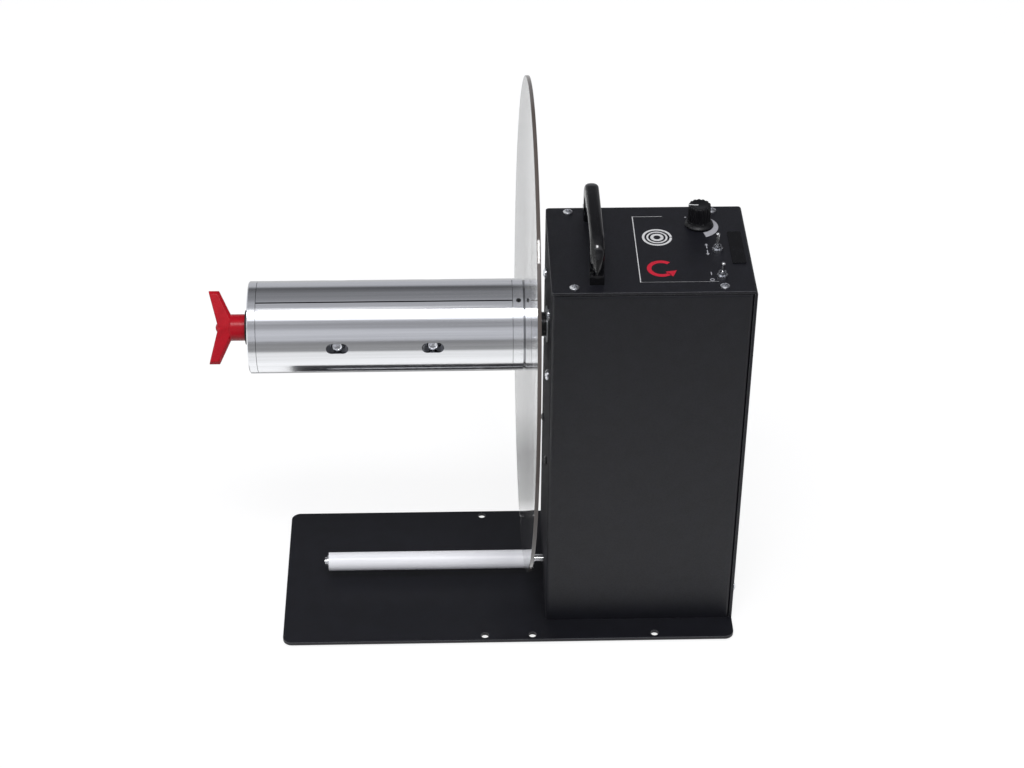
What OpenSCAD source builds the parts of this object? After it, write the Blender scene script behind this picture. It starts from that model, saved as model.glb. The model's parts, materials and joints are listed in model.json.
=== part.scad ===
// Powered label unwinder: a desk machine that turns a roll of labels on an expanding chuck.
// Lengths are in millimetres, +Z is up, the chuck points along -X and the spindle lies in the plane Y = 0.
// Places along X are counted from the disc's chuck-side face, and placed() shifts them to the part's origin.

/* [Base plate] */
// Length of the base plate along the spindle
plate_l = 389; // [360:1:440]
// Depth of the base plate from front to rear
plate_d = 173; // [160:1:230]
// Thickness of the base plate
plate_t = 3; // [2.5:0.5:6]
// Corner radius of the base plate
plate_r = 8; // [3:0.5:14]
// Diameter of a rubber foot
foot_d = 18; // [12:1:24]
// Height of a rubber foot
foot_h = 2.5; // [1.5:0.5:6]
// How much narrower a rubber foot is at the bottom
foot_taper = 2; // [0:0.5:4]
// Distance of a foot's centre from the plate's edges
foot_inset = 26; // [22:1:34]
// Diameter of a fixing hole in the base plate
desk_hole_d = 6.6; // [4:0.1:8]
// Distance of a fixing hole's centre from the plate's long edge
desk_hole_edge = 6; // [5:0.5:10]
// Distance from the plate's chuck end to the first pair of fixing holes
desk_hole_first = 174; // [120:1:190]
// Distance from the first pair of fixing holes to the middle pair
desk_hole_mid = 41; // [25:1:60]
// Distance from the first pair of fixing holes to the last pair
desk_hole_span = 146.5; // [120:0.5:160]

/* [Housing] */
// Width of the housing along the spindle
box_w = 162; // [156:1:200]
// Depth of the housing from front to rear
box_d = 125; // [120:1:155]
// Height of the housing above the base plate
box_h = 343.5; // [335:0.5:400]
// Thickness of the folded chassis sheet
sheet_t = 2; // [1.5:0.1:2.5]
// Thickness of the bent cover sheet
cover_t = 2.5; // [1.5:0.1:2.8]
// Outer radius of the sheet bends
bend_r = 3; // [2.9:0.1:4]
// Width of the chassis lips
lip_w = 12; // [11:0.5:13]
// Gap under the cover's side
cover_lift = 0.5; // [0.2:0.1:2]
// Distance of the cover screws from the front and rear faces
cover_screw_edge = 7; // [6:0.1:7]
// Distance of the cover screws from the spindle wall
cover_screw_near = 18; // [14:0.5:24]
// Distance of the cover screws from the far side
cover_screw_far = 25.5; // [20:0.5:30]
// Height of the two side cover screws above the base plate
side_screw_h = 30; // [20:1:60]
// Distance of the base screws from the ends of the chassis
base_screw_inset = 46; // [40:1:60]

/* [Screws] */
// Shank diameter of the small machine screws
screw_d = 4; // [3:0.5:4.5]
// Head diameter of the small machine screws
screw_head_d = 7.6; // [6:0.1:8]
// Head height of the small machine screws
screw_head_h = 2.4; // [1.8:0.1:3]
// Shank diameter of the gearbox and handle screws
big_screw_d = 5; // [4:0.5:6]
// Head diameter of the gearbox and handle screws
big_head_d = 9; // [8:0.1:10]
// Head height of the gearbox and handle screws
big_head_h = 2.8; // [2:0.1:3.5]
// Length of a screw, or of its hole, past what holds it
screw_past = 2; // [1:0.5:3]

/* [Carry handle] */
// Distance of the handle's middle from the spindle wall
handle_x = 36; // [28:0.5:50]
// Distance of the handle's middle from the spindle plane, towards the rear
handle_y = 1.7; // [0:0.1:2.5]
// Overall length of the handle
handle_l = 106.5; // [102:0.5:112]
// Height of the handle above the cover
handle_h = 36.5; // [32:0.5:60]
// Width of the handle
handle_w = 11.5; // [9:0.5:18]
// Thickness of the handle's grip
handle_grip = 8.5; // [7:0.5:14]
// Length of the handle's feet
handle_foot = 14; // [11:0.5:18]
// Outer corner radius of the handle
handle_r = 18; // [15:0.5:20]
// Chamfer along the top of the grip
handle_chamfer = 3; // [0.5:0.1:3.5]
// Distance between the handle's screws
handle_pitch = 91.5; // [84:0.5:92]
// Depth of the handle's screws in its feet
handle_screw_depth = 12; // [8:0.5:20]

/* [Spindle and disc] */
// Height of the spindle axis above the base plate
axis_h = 270.7; // [262:0.1:290]
// Diameter of the spindle
spindle_d = 20; // [17:0.5:21]
// Diameter of the flange disc
disc_d = 406; // [300:1:470]
// Thickness of the flange disc
disc_t = 3; // [2:0.5:6]
// Gap between the disc and the spindle wall
wall_gap = 16.7; // [13:0.1:30]
// Diameter of the hub's spigot in the disc
spigot_d = 36; // [30:0.5:40]
// Diameter of the clamp plate behind the disc
clamp_d = 60; // [58:1:90]
// Thickness of the clamp plate
clamp_t = 6; // [4:0.5:8]
// Pitch radius of the clamp screws
clamp_screw_r = 24.5; // [23.5:0.5:26]
// Length of the clamp screws
clamp_screw_l = 14; // [12:0.5:16]

/* [Chuck] */
// Outer diameter of the chuck at rest
chuck_d = 75.6; // [75:0.1:78]
// Width of the rear ring
hub_w = 9.2; // [9:0.1:14]
// Width of the relief round the rear ring, next to the disc
hub_relief_w = 1; // [0.5:0.1:1.5]
// Depth of the relief
hub_relief = 1.2; // [0.5:0.1:2]
// Length of a chuck leaf
leaf_l = 207; // [195:1:240]
// Wall of a chuck leaf
leaf_t = 5; // [4.5:0.1:5.2]
// Axial seam at each end of a leaf
leaf_seam = 0.4; // [0.3:0.05:1]
// Width of the slit between two leaves at rest
leaf_slit = 1.1; // [0.6:0.05:2]
// Turn of the first leaf from straight up, towards the rear
leaf_phase = -84; // [-180:1:180]
// Width of the front end cap
cap_w = 6.8; // [5:0.1:10]
// Length of the tongue at each end of a leaf
tongue_l = 2; // [1.2:0.1:2.2]
// Thickness of the tongue
tongue_t = 2.2; // [1.5:0.1:2.4]
// Distance from the disc to the rear row of slots
slot_rear = 74.2; // [60:0.1:90]
// Distance from the disc to the front row of slots
slot_front = 151.4; // [135:0.1:165]
// Length of a slot
slot_l = 18; // [17:0.1:24]
// Width of a slot
slot_w = 9; // [8.4:0.1:10]
// Length of the narrow through part of a slot
slot_in_l = 13.6; // [13:0.1:15]
// Head diameter of a slot screw
slot_head_d = 8; // [6:0.1:8]
// Head height of a slot screw
slot_head_h = 2.6; // [2:0.1:2.8]
// Depth of the ledge under a slot screw's head
ledge_depth = 5.8; // [5.4:0.1:6]
// Half angle of the expander's cones
cone_angle = 15; // [10:0.5:16]
// Radius of the expander's cones at mid length
cone_r = 25.5; // [25:0.1:26]
// Length of a cone
cone_l = 30; // [26:1:31]
// Radius of the expander's tube between the cones
expander_r = 11; // [8:0.5:12]
// Axial travel of the expander
expander_travel = 4; // [1:0.1:4]
// Width of the pads that ride on the cones
pad_w = 22; // [14:0.5:24]
// Length of the pads
pad_l = 25; // [16:0.5:26]
// Gap between a pad and its cone
pad_gap = 0.3; // [0.25:0.05:0.6]
// Diameter of a tie rod
tie_d = 7; // [6:0.5:7.5]
// Pitch radius of the tie rods
tie_r = 16.5; // [16:0.1:16.8]
// Depth of a tie rod's end in the rear ring
tie_depth = 5; // [3:0.5:6]
// Diameter of the draw screw
draw_d = 12; // [8:0.5:12]
// Diameter of the draw screw's collar
collar_d = 18; // [15:0.5:20]
// Width of the draw screw's collar
collar_w = 4; // [2:0.5:8]
// Length of the draw screw held in the expander
draw_grip = 38; // [20:1:50]
// Diameter of the rear ring's set screws
set_screw_d = 4; // [3:0.5:4]
// How far a set screw's top is sunk in the rear ring
set_screw_sink = 1; // [0.3:0.1:2]
// Depth of a set screw's socket
set_socket = 2; // [1:0.1:3]
// Floor of the spindle's seat in the rear ring
hub_floor = 2; // [1.5:0.1:2.2]
// Depth of the end cap screws in the tie rods
cap_screw_depth = 8; // [5:0.5:12]
// Bevel round the end cap
cap_bevel = 0.8; // [0.3:0.1:2]
// Wall between a slot screw's tip and the draw screw's bore
slot_screw_web = 4; // [3:0.5:5]

/* [Wing knob] */
// Diameter of the washer under the wing knob
washer_d = 28; // [24:0.5:34]
// Thickness of the washer
washer_t = 3.2; // [1:0.1:5]
// Diameter of the knob's hub
knob_hub_d = 21.8; // [18:0.1:26]
// Length of the knob's hub
knob_hub_l = 12.4; // [10:0.1:18]
// Distance from wing tip to wing tip
wing_span = 60; // [50:1:74]
// Thickness of the wings
wing_t = 9; // [6:0.5:12]
// Width of the wings at the root
wing_root_w = 15.1; // [12:0.1:18]
// Width of the wings at the tip
wing_tip_w = 8.6; // [6:0.1:10]
// How far the wing tips are swept forward
wing_sweep = 11; // [0:0.5:14]
// Turn of the wings from straight up, towards the rear
wing_phase = 35; // [-180:1:180]
// Thickness of the knob above the draw screw
knob_roof = 2; // [1:0.1:4]
// How far the wings' roots are sunk in the hub
wing_sink = 5.2; // [0.5:0.1:7]
// Diameter of the round boss between the wings
boss_d = 12; // [8:0.5:16]
// Height of the boss above the wings' roots
boss_h = 2.4; // [1:0.1:4]

/* [Guide roller] */
// Diameter of the guide roller
roller_d = 16.2; // [14:0.1:22]
// Length of the guide roller
roller_l = 180.5; // [150:0.5:200]
// Distance from the roller's inner end to the spindle wall
roller_wall_gap = 9; // [5:0.1:14]
// Height of the roller's axis above the base plate
roller_h = 16.5; // [14:0.1:24]
// Diameter of the roller's axle
axle_d = 8; // [6:0.5:10]
// Length of the axle past the roller's outer end
axle_tail = 3.4; // [2.5:0.1:6]
// Length of the axle past the inside of the spindle wall
axle_thread = 12; // [10:0.5:20]
// Thickness of the retaining clips
clip_t = 0.8; // [0.5:0.1:1.2]
// Outer diameter of the retaining clips
clip_d = 11; // [10.5:0.1:13]
// Width of the axle's nut
axle_nut_w = 13; // [12.5:0.1:16]
// Thickness of the axle's nut
axle_nut_t = 6; // [4:0.5:8]

/* [Controls] */
// Distance of the torque knob from the spindle wall
knob_x = 124.1; // [110:0.1:128]
// Distance of the toggle switches from the spindle wall
toggle_x = 135.7; // [130:0.1:138]
// Distance of the first toggle switch from the spindle plane, towards the viewer
toggle_y = 3; // [-4:0.5:6]
// Pitch of the row of controls
control_pitch = 38; // [34:0.1:39]
// Diameter of the torque knob's skirt
dial_skirt_d = 23; // [20:0.5:28]
// Diameter of the torque knob's body
dial_body_d = 17.8; // [16:0.1:20]
// Height of the torque knob
dial_h = 18.6; // [15:0.1:24]
// Height of the torque knob's skirt
dial_skirt_h = 4; // [3:0.1:6]
// Diameter of the torque knob's skirt at its top
dial_collar_d = 18.8; // [18.2:0.1:20]
// Gap under the torque knob
dial_gap = 0.8; // [0.4:0.1:1.5]
// Diameter of the potentiometer's shaft
pot_shaft_d = 6; // [4:0.5:6]
// Diameter of the potentiometer's bushing
pot_bush_d = 7.6; // [7.4:0.1:9]
// Diameter of the potentiometer's case
pot_case_d = 17; // [14:0.5:24]
// Height of the potentiometer's case
pot_case_h = 9; // [7:0.5:11]
// Floor of the shaft hole in the potentiometer
pot_floor = 2; // [1:0.5:3]
// Thickness of the torque knob above its shaft
dial_roof = 3.6; // [2.5:0.1:5]
// Flutes round the torque knob
flutes = 14; // [8:1:20]
// Radius of a flute
flute_r = 1.2; // [0.8:0.1:1.4]
// Bevel round the torque knob's top
dial_crown = 1.2; // [0.5:0.1:2]
// Diameter of the torque knob's room for the nut
dial_room_d = 15.2; // [15:0.1:16]
// Diameter of a toggle switch's bushing
toggle_bush_d = 6; // [5.6:0.1:7]
// Height of a toggle switch's bushing above the cover
toggle_bush_h = 4.6; // [4:0.1:7]
// Wall of a toggle switch's bushing
toggle_bush_t = 0.8; // [0.6:0.1:0.9]
// Width of a toggle switch's body
toggle_body_w = 8; // [7:0.5:10]
// Depth of a toggle switch's body
toggle_body_d = 13; // [11:0.5:16]
// Height of a toggle switch's body
toggle_body_h = 10; // [9:0.5:11]
// Distance between a toggle switch's pins
toggle_pin_pitch = 4; // [3:0.1:4.5]
// Width of a toggle switch's pins
toggle_pin_w = 1.2; // [0.8:0.1:1.6]
// Thickness of a toggle switch's pins
toggle_pin_t = 0.8; // [0.5:0.1:1]
// Height of a lever's pivot above the cover
pivot_h = 1.6; // [1:0.1:2]
// Radius of the ball at a lever's pivot
lever_ball_r = 1.7; // [1.4:0.1:1.9]
// Height of a lever's straight neck
lever_neck_h = 3; // [2:0.1:4]
// Diameter of a lever's pivot pin
lever_pin_d = 1.2; // [0.8:0.1:1.4]
// Length of a lever's pivot pin
lever_pin_l = 5.2; // [4.8:0.1:5.5]
// Length of a toggle lever above its pivot
lever_l = 13.6; // [11:0.1:18]
// Diameter of a toggle lever's tip
lever_tip_d = 3.2; // [2.6:0.1:4]
// Diameter of a toggle lever's neck
lever_neck_d = 2; // [1.6:0.1:2.2]
// Tip of a toggle lever from upright, in degrees
lever_tilt = 12; // [6:0.5:13]
// Thickness of the panel nuts
panel_nut_t = 2; // [1.5:0.1:2.4]
// Width of a toggle switch's nut
toggle_nut_w = 8; // [7.5:0.1:10]
// Width of the potentiometer's nut
pot_nut_w = 11.6; // [10:0.1:12]
// Width of the power inlet's nut
inlet_nut_w = 15; // [14.5:0.1:18]
// Length of a bushing past its nut
bush_past = 1; // [0.5:0.1:1.5]
// Width of the badge plate
badge_w = 11; // [8:0.5:12]
// Length of the badge plate
badge_l = 46; // [30:1:60]
// Thickness of the badge plate
badge_t = 0.8; // [0.5:0.1:2]
// Corner radius of the badge plate
badge_r = 1; // [0.5:0.1:2]
// Distance of the badge plate's middle from the far side
badge_edge = 10.6; // [9:0.1:11]
// Distance of the control board below the cover
board_drop = 15; // [14.5:0.5:20]
// Width of the control board along the spindle
board_w = 40; // [38:1:44]
// Depth of the control board from front to rear
board_d = 94; // [92:1:98]
// Distance of the control board's pillars from its edges
standoff_inset = 4; // [3.5:0.1:5]
// Width of the control board's socket block
socket_w = 10; // [6:0.5:14]
// Length of the control board's socket block
socket_l = 30; // [20:1:40]
// Height of the control board's socket block
socket_h = 9; // [5:0.5:12]
// Distance of the socket block from the middle of the board
socket_x = 9; // [7:0.5:12]
// Thickness of the circuit boards
board_t = 1.6; // [1:0.1:2.4]

/* [Gearbox and motor] */
// Pitch of the four gearbox screws
gb_pitch = 60; // [58:0.5:62]
// Depth of the gearbox screws in the case
gb_screw_depth = 10; // [6:0.5:12]
// Half width of the gearbox case
gb_half_w = 38; // [37:0.5:44]
// Reach of the gearbox case above the spindle axis
gb_up = 38; // [37:0.5:44]
// Reach of the gearbox case below the motor axis
gb_below = 14; // [13:0.5:18]
// Wall of the gearbox case
gb_wall = 4; // [3:0.5:4.5]
// Thickness of the gearbox case's front
gb_front_t = 14; // [13.5:0.5:18]
// Depth of the gearbox cavity
gb_cavity_l = 28; // [27:0.5:34]
// Thickness of the gearbox lid
gb_lid_t = 12; // [11.5:0.5:16]
// Diameter of the gearbox pilot in the spindle wall
pilot_d = 30; // [27:0.5:36]
// Height of the gearbox pilot outside the spindle wall
pilot_proud = 1; // [0.2:0.1:2]
// Half pitch of the lid screws across the case
lid_screw_y = 33; // [32:0.5:33.5]
// Height of the upper lid screws above the spindle axis
lid_screw_up = 33; // [32:0.5:33.5]
// Depth of the lower lid screws below the spindle axis
lid_screw_down = 28; // [22:0.5:30]
// Depth of the lid screws in the case
lid_screw_depth = 10; // [6:0.5:14]
// Half pitch of the motor screws
motor_screw_y = 18; // [16:0.5:24]
// Diameter of the bosses for the lid screws
lid_boss_d = 8; // [7:0.5:9]
// Gap round the motor pinion in the lid
pinion_gap = 1; // [0.5:0.1:3]
// Module of the output gear and its pinion
gear_m1 = 1.25; // [1.2:0.01:1.27]
// Teeth of the output gear
gear_n1 = 48; // [46:1:49]
// Teeth of the layshaft's pinion
gear_n2 = 16; // [14:1:17]
// Module of the layshaft gear and the motor pinion
gear_m2 = 1; // [0.95:0.01:1.05]
// Teeth of the layshaft gear
gear_n3 = 45; // [42:1:48]
// Teeth of the motor pinion
gear_n4 = 15; // [14:1:17]
// Width of the output gear
gear_w1 = 10; // [8:0.5:11]
// Width of the layshaft gear
gear_w2 = 8; // [6:0.5:9]
// Thinning of each gear's teeth
backlash = 0.25; // [0.2:0.01:0.4]
// Diameter of the spindle at the rear bearing
tail_d = 15; // [12:0.5:15]
// Outer diameter of the front bearing
bearing_d1 = 42; // [40:0.5:44]
// Width of the front bearing
bearing_w1 = 12; // [10:0.5:12]
// Outer diameter of the rear bearing
bearing_d2 = 35; // [34:0.5:38]
// Width of the rear bearing
bearing_w2 = 11; // [9:0.5:11]
// Thickness of a bearing race
race_t = 3.4; // [3:0.1:3.6]
// Balls in a bearing
ball_count = 8; // [6:1:9]
// Diameter of the layshaft
lay_d = 10; // [8:0.5:11]
// Outer diameter of the layshaft's bushes
bush_d = 16; // [15:0.5:18]
// Length of the layshaft's bushes
bush_l = 9; // [6:0.5:10]
// Diameter of the motor can
can_d = 70; // [68:0.5:72]
// Length of the motor can
can_l = 72; // [68:1:74]
// Wall of the motor can
can_t = 2.5; // [2:0.1:3]
// Thickness of the motor's end bell
bell_t = 8; // [6:0.5:10]
// Diameter of the armature's core
core_d = 52; // [40:1:53]
// Length of the armature's core
core_l = 40; // [30:1:42]
// Diameter of the motor shaft
rotor_d = 8; // [6:0.5:9]
// Thickness of the motor's magnets
magnet_t = 5; // [3:0.1:5.4]
// Arc of a motor magnet in degrees
magnet_arc = 140; // [90:1:160]
// Length of a magnet past each end of the core
magnet_past = 2; // [0:0.5:4]
// Diameter of the armature's windings
winding_d = 41.6; // [34:0.1:50]
// Length of the windings past each end of the core
winding_l = 5; // [3:0.5:6]
// Diameter of the commutator
commutator_d = 24; // [16:0.5:30]
// Length of the commutator
commutator_l = 10; // [6:0.5:12]
// Floor of the shaft hole in the motor's end bell
bell_floor = 2; // [1:0.5:4]

/* [Driver electronics] */
// Height of the bracket screws above the base plate
bracket_h = 152; // [140:1:156]
// Distance between the bracket screws
bracket_pitch = 60; // [50:1:66]
// Width of the driver bracket from front to rear
bracket_d = 82; // [78:1:100]
// Reach of the driver bracket into the housing
bracket_l = 80; // [78:1:100]
// Thickness of the driver bracket
bracket_t = 3; // [2:0.5:4]
// Depth of the bracket's shelf below its screws
bracket_drop = 36; // [34:1:50]
// Height of the bracket above its screws
bracket_rise = 9; // [8:0.5:14]
// Height of the driver board above the shelf
driver_lift = 5; // [3:0.5:8]
// Border of the shelf round the driver board
driver_border = 3; // [1:0.5:5]
// Width of a board's pillars
pillar_w = 6; // [5:0.5:7]
// Distance of a board's pillars from its edges
pillar_inset = 5; // [4:0.5:6]
// Diameter of the driver board's capacitors
capacitor_d = 16; // [10:0.5:18]
// Height of the driver board's capacitors
capacitor_h = 22; // [12:0.5:26]
// Distance between the capacitors
capacitor_gap_y = 22; // [19:0.5:30]
// Thickness of the heat sink
sink_t = 10; // [6:0.5:12]
// Length of the heat sink
sink_l = 60; // [40:1:66]
// Height of the heat sink
sink_h = 18; // [10:0.5:24]
// Width of the terminal block
terminal_w = 9; // [6:0.5:10]
// Length of the terminal block
terminal_l = 48; // [30:1:60]
// Height of the terminal block
terminal_h = 10; // [8:0.5:14]
// Height of the power inlet above the base plate
inlet_h = 40; // [24:1:80]
// Distance of the power inlet from the spindle wall
inlet_x = 40; // [24:1:60]
// Diameter of the power inlet's bushing
inlet_bush_d = 11; // [10:0.5:14]
// Diameter of the power inlet's body
inlet_body_d = 15; // [14.5:0.5:18]
// Length of the power inlet's body inside the housing
inlet_body_l = 16; // [12:0.5:20]
// Diameter of the power inlet's socket
inlet_socket_d = 6.4; // [6:0.1:8]
// Depth of the power inlet's socket
inlet_depth = 11; // [8:0.5:12]

/* [Fits] */
// Radial gap between pieces fixed to each other
fit_gap = 0.02; // [0.01:0.01:0.05]
// Radial gap of a turning shaft
run_gap = 0.05; // [0.03:0.01:0.1]
// Radial gap round a loose screw
bolt_gap = 0.2; // [0.1:0.05:0.3]
// Gap between faces that move past each other
move_gap = 0.35; // [0.3:0.05:0.4]

/* [Hidden] */
$fn = 96;

// Heights
z_deck = foot_h + plate_t;
z_axis = z_deck + axis_h;
z_top = z_deck + box_h;
z_shell = z_top - cover_t;

// Places along the spindle
x_wall = disc_t + wall_gap;
x_right = x_wall + box_w;
x_side = x_right - cover_t;
shell_l = x_side - x_wall;
plate_x0 = x_right - plate_l;
desk_x0 = plate_x0 + desk_hole_first;
desk_y = plate_d / 2 - desk_hole_edge;
cut = 1;

// Shares of a screw head taken by its cross and its crown
recess_l = 0.58;
recess_w = 0.15;
recess_depth = 0.6;
crown_share = 0.55;

// Chuck stations, counted from the disc towards the chuck's tip
chuck_r = chuck_d / 2;
leaf_in = chuck_r - leaf_t;
leaf_s0 = hub_w + leaf_seam;
leaf_s1 = leaf_s0 + leaf_l;
cap_s0 = leaf_s1 + leaf_seam;
cap_s1 = cap_s0 + cap_w;
washer_s0 = cap_s1 + move_gap;
knob_s0 = washer_s0 + washer_t;
leaf_travel = expander_travel * tan(cone_angle);
leaf_angles = [for (i = [0 : 2]) leaf_phase + 120 * i];
tie_angles = [for (a = leaf_angles) a + 30];
slit_angles = [for (a = leaf_angles) a + 60];
slot_stations = [slot_rear, slot_front];
ledge_r = chuck_r - ledge_depth;
slot_seat_r = ledge_r + leaf_travel + move_gap;
slot_in_w = screw_d + 2 * move_gap;
groove_depth = tongue_l + leaf_seam;
hub_seat = hub_w - hub_floor;

// Wing knob stations
wing_mid = knob_hub_l + wing_root_w / 2 - wing_sink;
wing_tip_s = wing_mid + wing_sweep;
wing_tip_r = wing_span / 2;
knob_tip = knob_s0 + wing_tip_s + wing_tip_w / 2;

// Gearbox stations
gb_x0 = x_wall + sheet_t;
gb_x1 = gb_x0 + gb_front_t + gb_cavity_l;
gb_x2 = gb_x1 + gb_lid_t;
lay_drop = gear_m1 * (gear_n1 + gear_n2) / 2;
motor_drop = lay_drop + gear_m2 * (gear_n3 + gear_n4) / 2;
z_lay = z_axis - lay_drop;
z_motor = z_axis - motor_drop;
gb_bottom = z_motor - gb_below;
gear_gap = 2;
gear_x1 = gb_x0 + gb_front_t + gear_gap;
gear_x2 = gear_x1 + gear_w1 + 2 * gear_gap;
tail_x = gb_x1 + bearing_w2 - move_gap;
pressure_angle = 20;
tooth_add = 0.95;
tooth_ded = 1.25;
flank_steps = 4;
can_r = can_d / 2;
bell_x = gb_x2 + can_l;
rotor_front = gear_x2 - cut;
rotor_rear = bell_x + bell_t - bell_floor - cut;
core_x = gb_x2 + can_t + (can_l - can_t - core_l - commutator_l) / 2;

// Control places
toggle_places = [[x_wall + toggle_x, -toggle_y], [x_wall + toggle_x, -toggle_y - control_pitch]];
dial_place = [x_wall + knob_x, control_pitch - toggle_y];
z_pivot = z_top + pivot_h;
z_board = z_shell - board_drop;
inlet_place = [x_wall + inlet_x, z_deck + inlet_h];

// Guide roller places
z_roller = z_deck + roller_h;
roller_x1 = x_wall - roller_wall_gap;
roller_x0 = roller_x1 - roller_l;

// Screw places
gearbox_bolts = [for (y = [-1, 1], z = [-1, 1]) [y * gb_pitch / 2, z_axis + z * gb_pitch / 2]];
lid_bolts = [for (y = [-1, 1], z = [lid_screw_up, -lid_screw_down]) [y * lid_screw_y, z_axis + z]];
motor_bolts = [for (y = [-1, 1]) [y * motor_screw_y, z_motor]];
bracket_bolts = [for (y = [-1, 1]) [y * bracket_pitch / 2, z_deck + bracket_h]];
cover_y = box_d / 2 - cover_screw_edge;
cover_bolts = [for (x = [x_wall + cover_screw_near, x_right - cover_screw_far], y = [-1, 1])
  [x, y * cover_y]];
side_bolts = [for (y = [-1, 1]) [y * cover_y, z_deck + side_screw_h]];
base_y = box_d / 2 - lip_w / 2;
base_bolts = [for (x = [x_wall + base_screw_inset, x_side - base_screw_inset], y = [-1, 1]) [x, y * base_y]];
handle_place = [x_wall + handle_x, handle_y];
handle_bolts = [for (y = [-1, 1]) [handle_place.x, y * handle_pitch / 2]];
foot_places = [for (x = [plate_x0 + foot_inset, x_right - foot_inset], y = [-1, 1])
  [x, y * (plate_d / 2 - foot_inset)]];
desk_holes = [for (x = [0, desk_hole_mid, desk_hole_span], y = [-1, 1]) [desk_x0 + x, y * desk_y]];

// The part's origin is under the middle of its box
origin_dx = (knob_tip - x_right - screw_head_h) / 2;

// Flat outlines
module rounded_rect(w, d, r) {
  square([w - 2 * r, d], center = true);
  square([w, d - 2 * r], center = true);
  for (sx = [-1, 1], sy = [-1, 1])
    translate([sx * (w / 2 - r), sy * (d / 2 - r)])
      circle(r);
}

module arch(w, h, r) {
  translate([-w / 2, 0])
    square([w, h - r]);
  translate([r - w / 2, 0])
    square([w - 2 * r, h]);
  for (s = [-1, 1])
    translate([s * (w / 2 - r), h - r])
      circle(r);
}

module stadium(l, w) {
  square([l - w, w], center = true);
  for (s = [-1, 1])
    translate([s * (l - w) / 2, 0])
      circle(d = w);
}

// Frames to draw in: along the spindle towards the chuck, along +X, and along +Y
module chuck_axis() {
  translate([0, 0, z_axis])
    rotate([0, -90, 0])
      children();
}

module along_x(x, y, z) {
  translate([x, y, z])
    rotate([0, 90, 0])
      children();
}

module along_y(x, y, z) {
  translate([x, y, z])
    rotate([-90, 0, 0])
      children();
}

module placed() {
  translate([origin_dx, 0, 0])
    children();
}

// Screws: the head's seat is at z = 0 and the shank runs down
module cross_recess(d, depth) {
  for (a = [0, 90])
    rotate(a)
      cube([recess_l * d, recess_w * d, 2 * depth], center = true);
}

module pan_screw(d, l, head_d, head_h) {
  crown = crown_share * head_h;
  ball_r = (pow(head_d / 2, 2) + pow(crown, 2)) / (2 * crown);
  translate([0, 0, -l])
    cylinder(d = d, h = l);
  difference() {
    intersection() {
      cylinder(d = head_d, h = head_h);
      translate([0, 0, head_h - ball_r])
        sphere(ball_r);
    }
    translate([0, 0, head_h])
      cross_recess(head_d, recess_depth * head_h);
  }
}

// Flush screw: its flat top is at z = 0
module flush_screw(d, l, head_d) {
  difference() {
    union() {
      translate([0, 0, -l])
        cylinder(d = d, h = l);
      translate([0, 0, -(head_d - d) / 2])
        cylinder(d1 = d, d2 = head_d, h = (head_d - d) / 2);
    }
    cross_recess(head_d, recess_depth * (head_d - d) / 2);
  }
}

module flush_hole(d, l, head_d, gap) {
  translate([0, 0, -l])
    cylinder(d = d + 2 * gap, h = l);
  translate([0, 0, -(head_d - d) / 2])
    cylinder(d1 = d + 2 * gap, d2 = head_d + 2 * gap, h = (head_d - d) / 2);
}

module hex_nut(across, h, bore) {
  difference() {
    cylinder(d = across / cos(30), h = h, $fn = 6);
    translate([0, 0, -cut])
      cylinder(d = bore, h = h + 2 * cut);
  }
}

module tube(r_out, r_in, h) {
  difference() {
    cylinder(r = r_out, h = h);
    translate([0, 0, -cut])
      cylinder(r = r_in, h = h + 2 * cut);
  }
}

// Spur gears: the flanks are involutes, sampled at a few radii
function polar(r, a) = [r * cos(a), r * sin(a)];
function involute(base_r, r) = let (a = acos(min(1, base_r / r))) tan(a) * 180 / PI - a;
function tooth(mid, root_r, radii, flank) = concat(
  radii[0] > root_r ? [polar(root_r, mid - flank[0])] : [],
  [for (i = [0 : flank_steps]) polar(radii[i], mid - flank[i])],
  [for (i = [flank_steps : -1 : 0]) polar(radii[i], mid + flank[i])],
  radii[0] > root_r ? [polar(root_r, mid + flank[0])] : []
);
function gear_outline(n, m) = let (
  pitch_r = n * m / 2,
  base_r = pitch_r * cos(pressure_angle),
  tip_r = pitch_r + tooth_add * m,
  root_r = pitch_r - tooth_ded * m,
  start_r = max(base_r, root_r),
  half = 90 / n - backlash * 90 / (PI * pitch_r) + involute(base_r, pitch_r),
  radii = [for (i = [0 : flank_steps]) start_r + (tip_r - start_r) * i / flank_steps],
  flank = [for (r = radii) half - involute(base_r, r)]
) [for (t = [0 : n - 1]) each tooth(360 * t / n, root_r, radii, flank)];

module gear(n, m, w, bore, turn) {
  difference() {
    rotate(turn)
      linear_extrude(w)
        polygon(gear_outline(n, m));
    translate([0, 0, -cut])
      cylinder(d = bore, h = w + 2 * cut);
  }
}

// Base
module base_plate() {
  color("#222326")
    difference() {
      translate([plate_x0 + plate_l / 2, 0, foot_h])
        linear_extrude(plate_t)
          rounded_rect(plate_l, plate_d, plate_r);
      for (p = desk_holes)
        translate([p.x, p.y, foot_h - cut])
          cylinder(d = desk_hole_d, h = plate_t + 2 * cut);
      for (p = base_bolts)
        translate([p.x, p.y, foot_h])
          mirror([0, 0, 1])
            flush_hole(screw_d, plate_t + cut, screw_head_d, bolt_gap);
    }
}

module rubber_feet() {
  color("#18181a")
    for (p = foot_places)
      translate(p)
        cylinder(d1 = foot_d - foot_taper, d2 = foot_d, h = foot_h);
}

module base_screws() {
  color("#b8babd")
    for (p = base_bolts)
      translate([p.x, p.y, foot_h])
        mirror([0, 0, 1])
          flush_screw(screw_d, plate_t + sheet_t + screw_past, screw_head_d);
}

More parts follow.
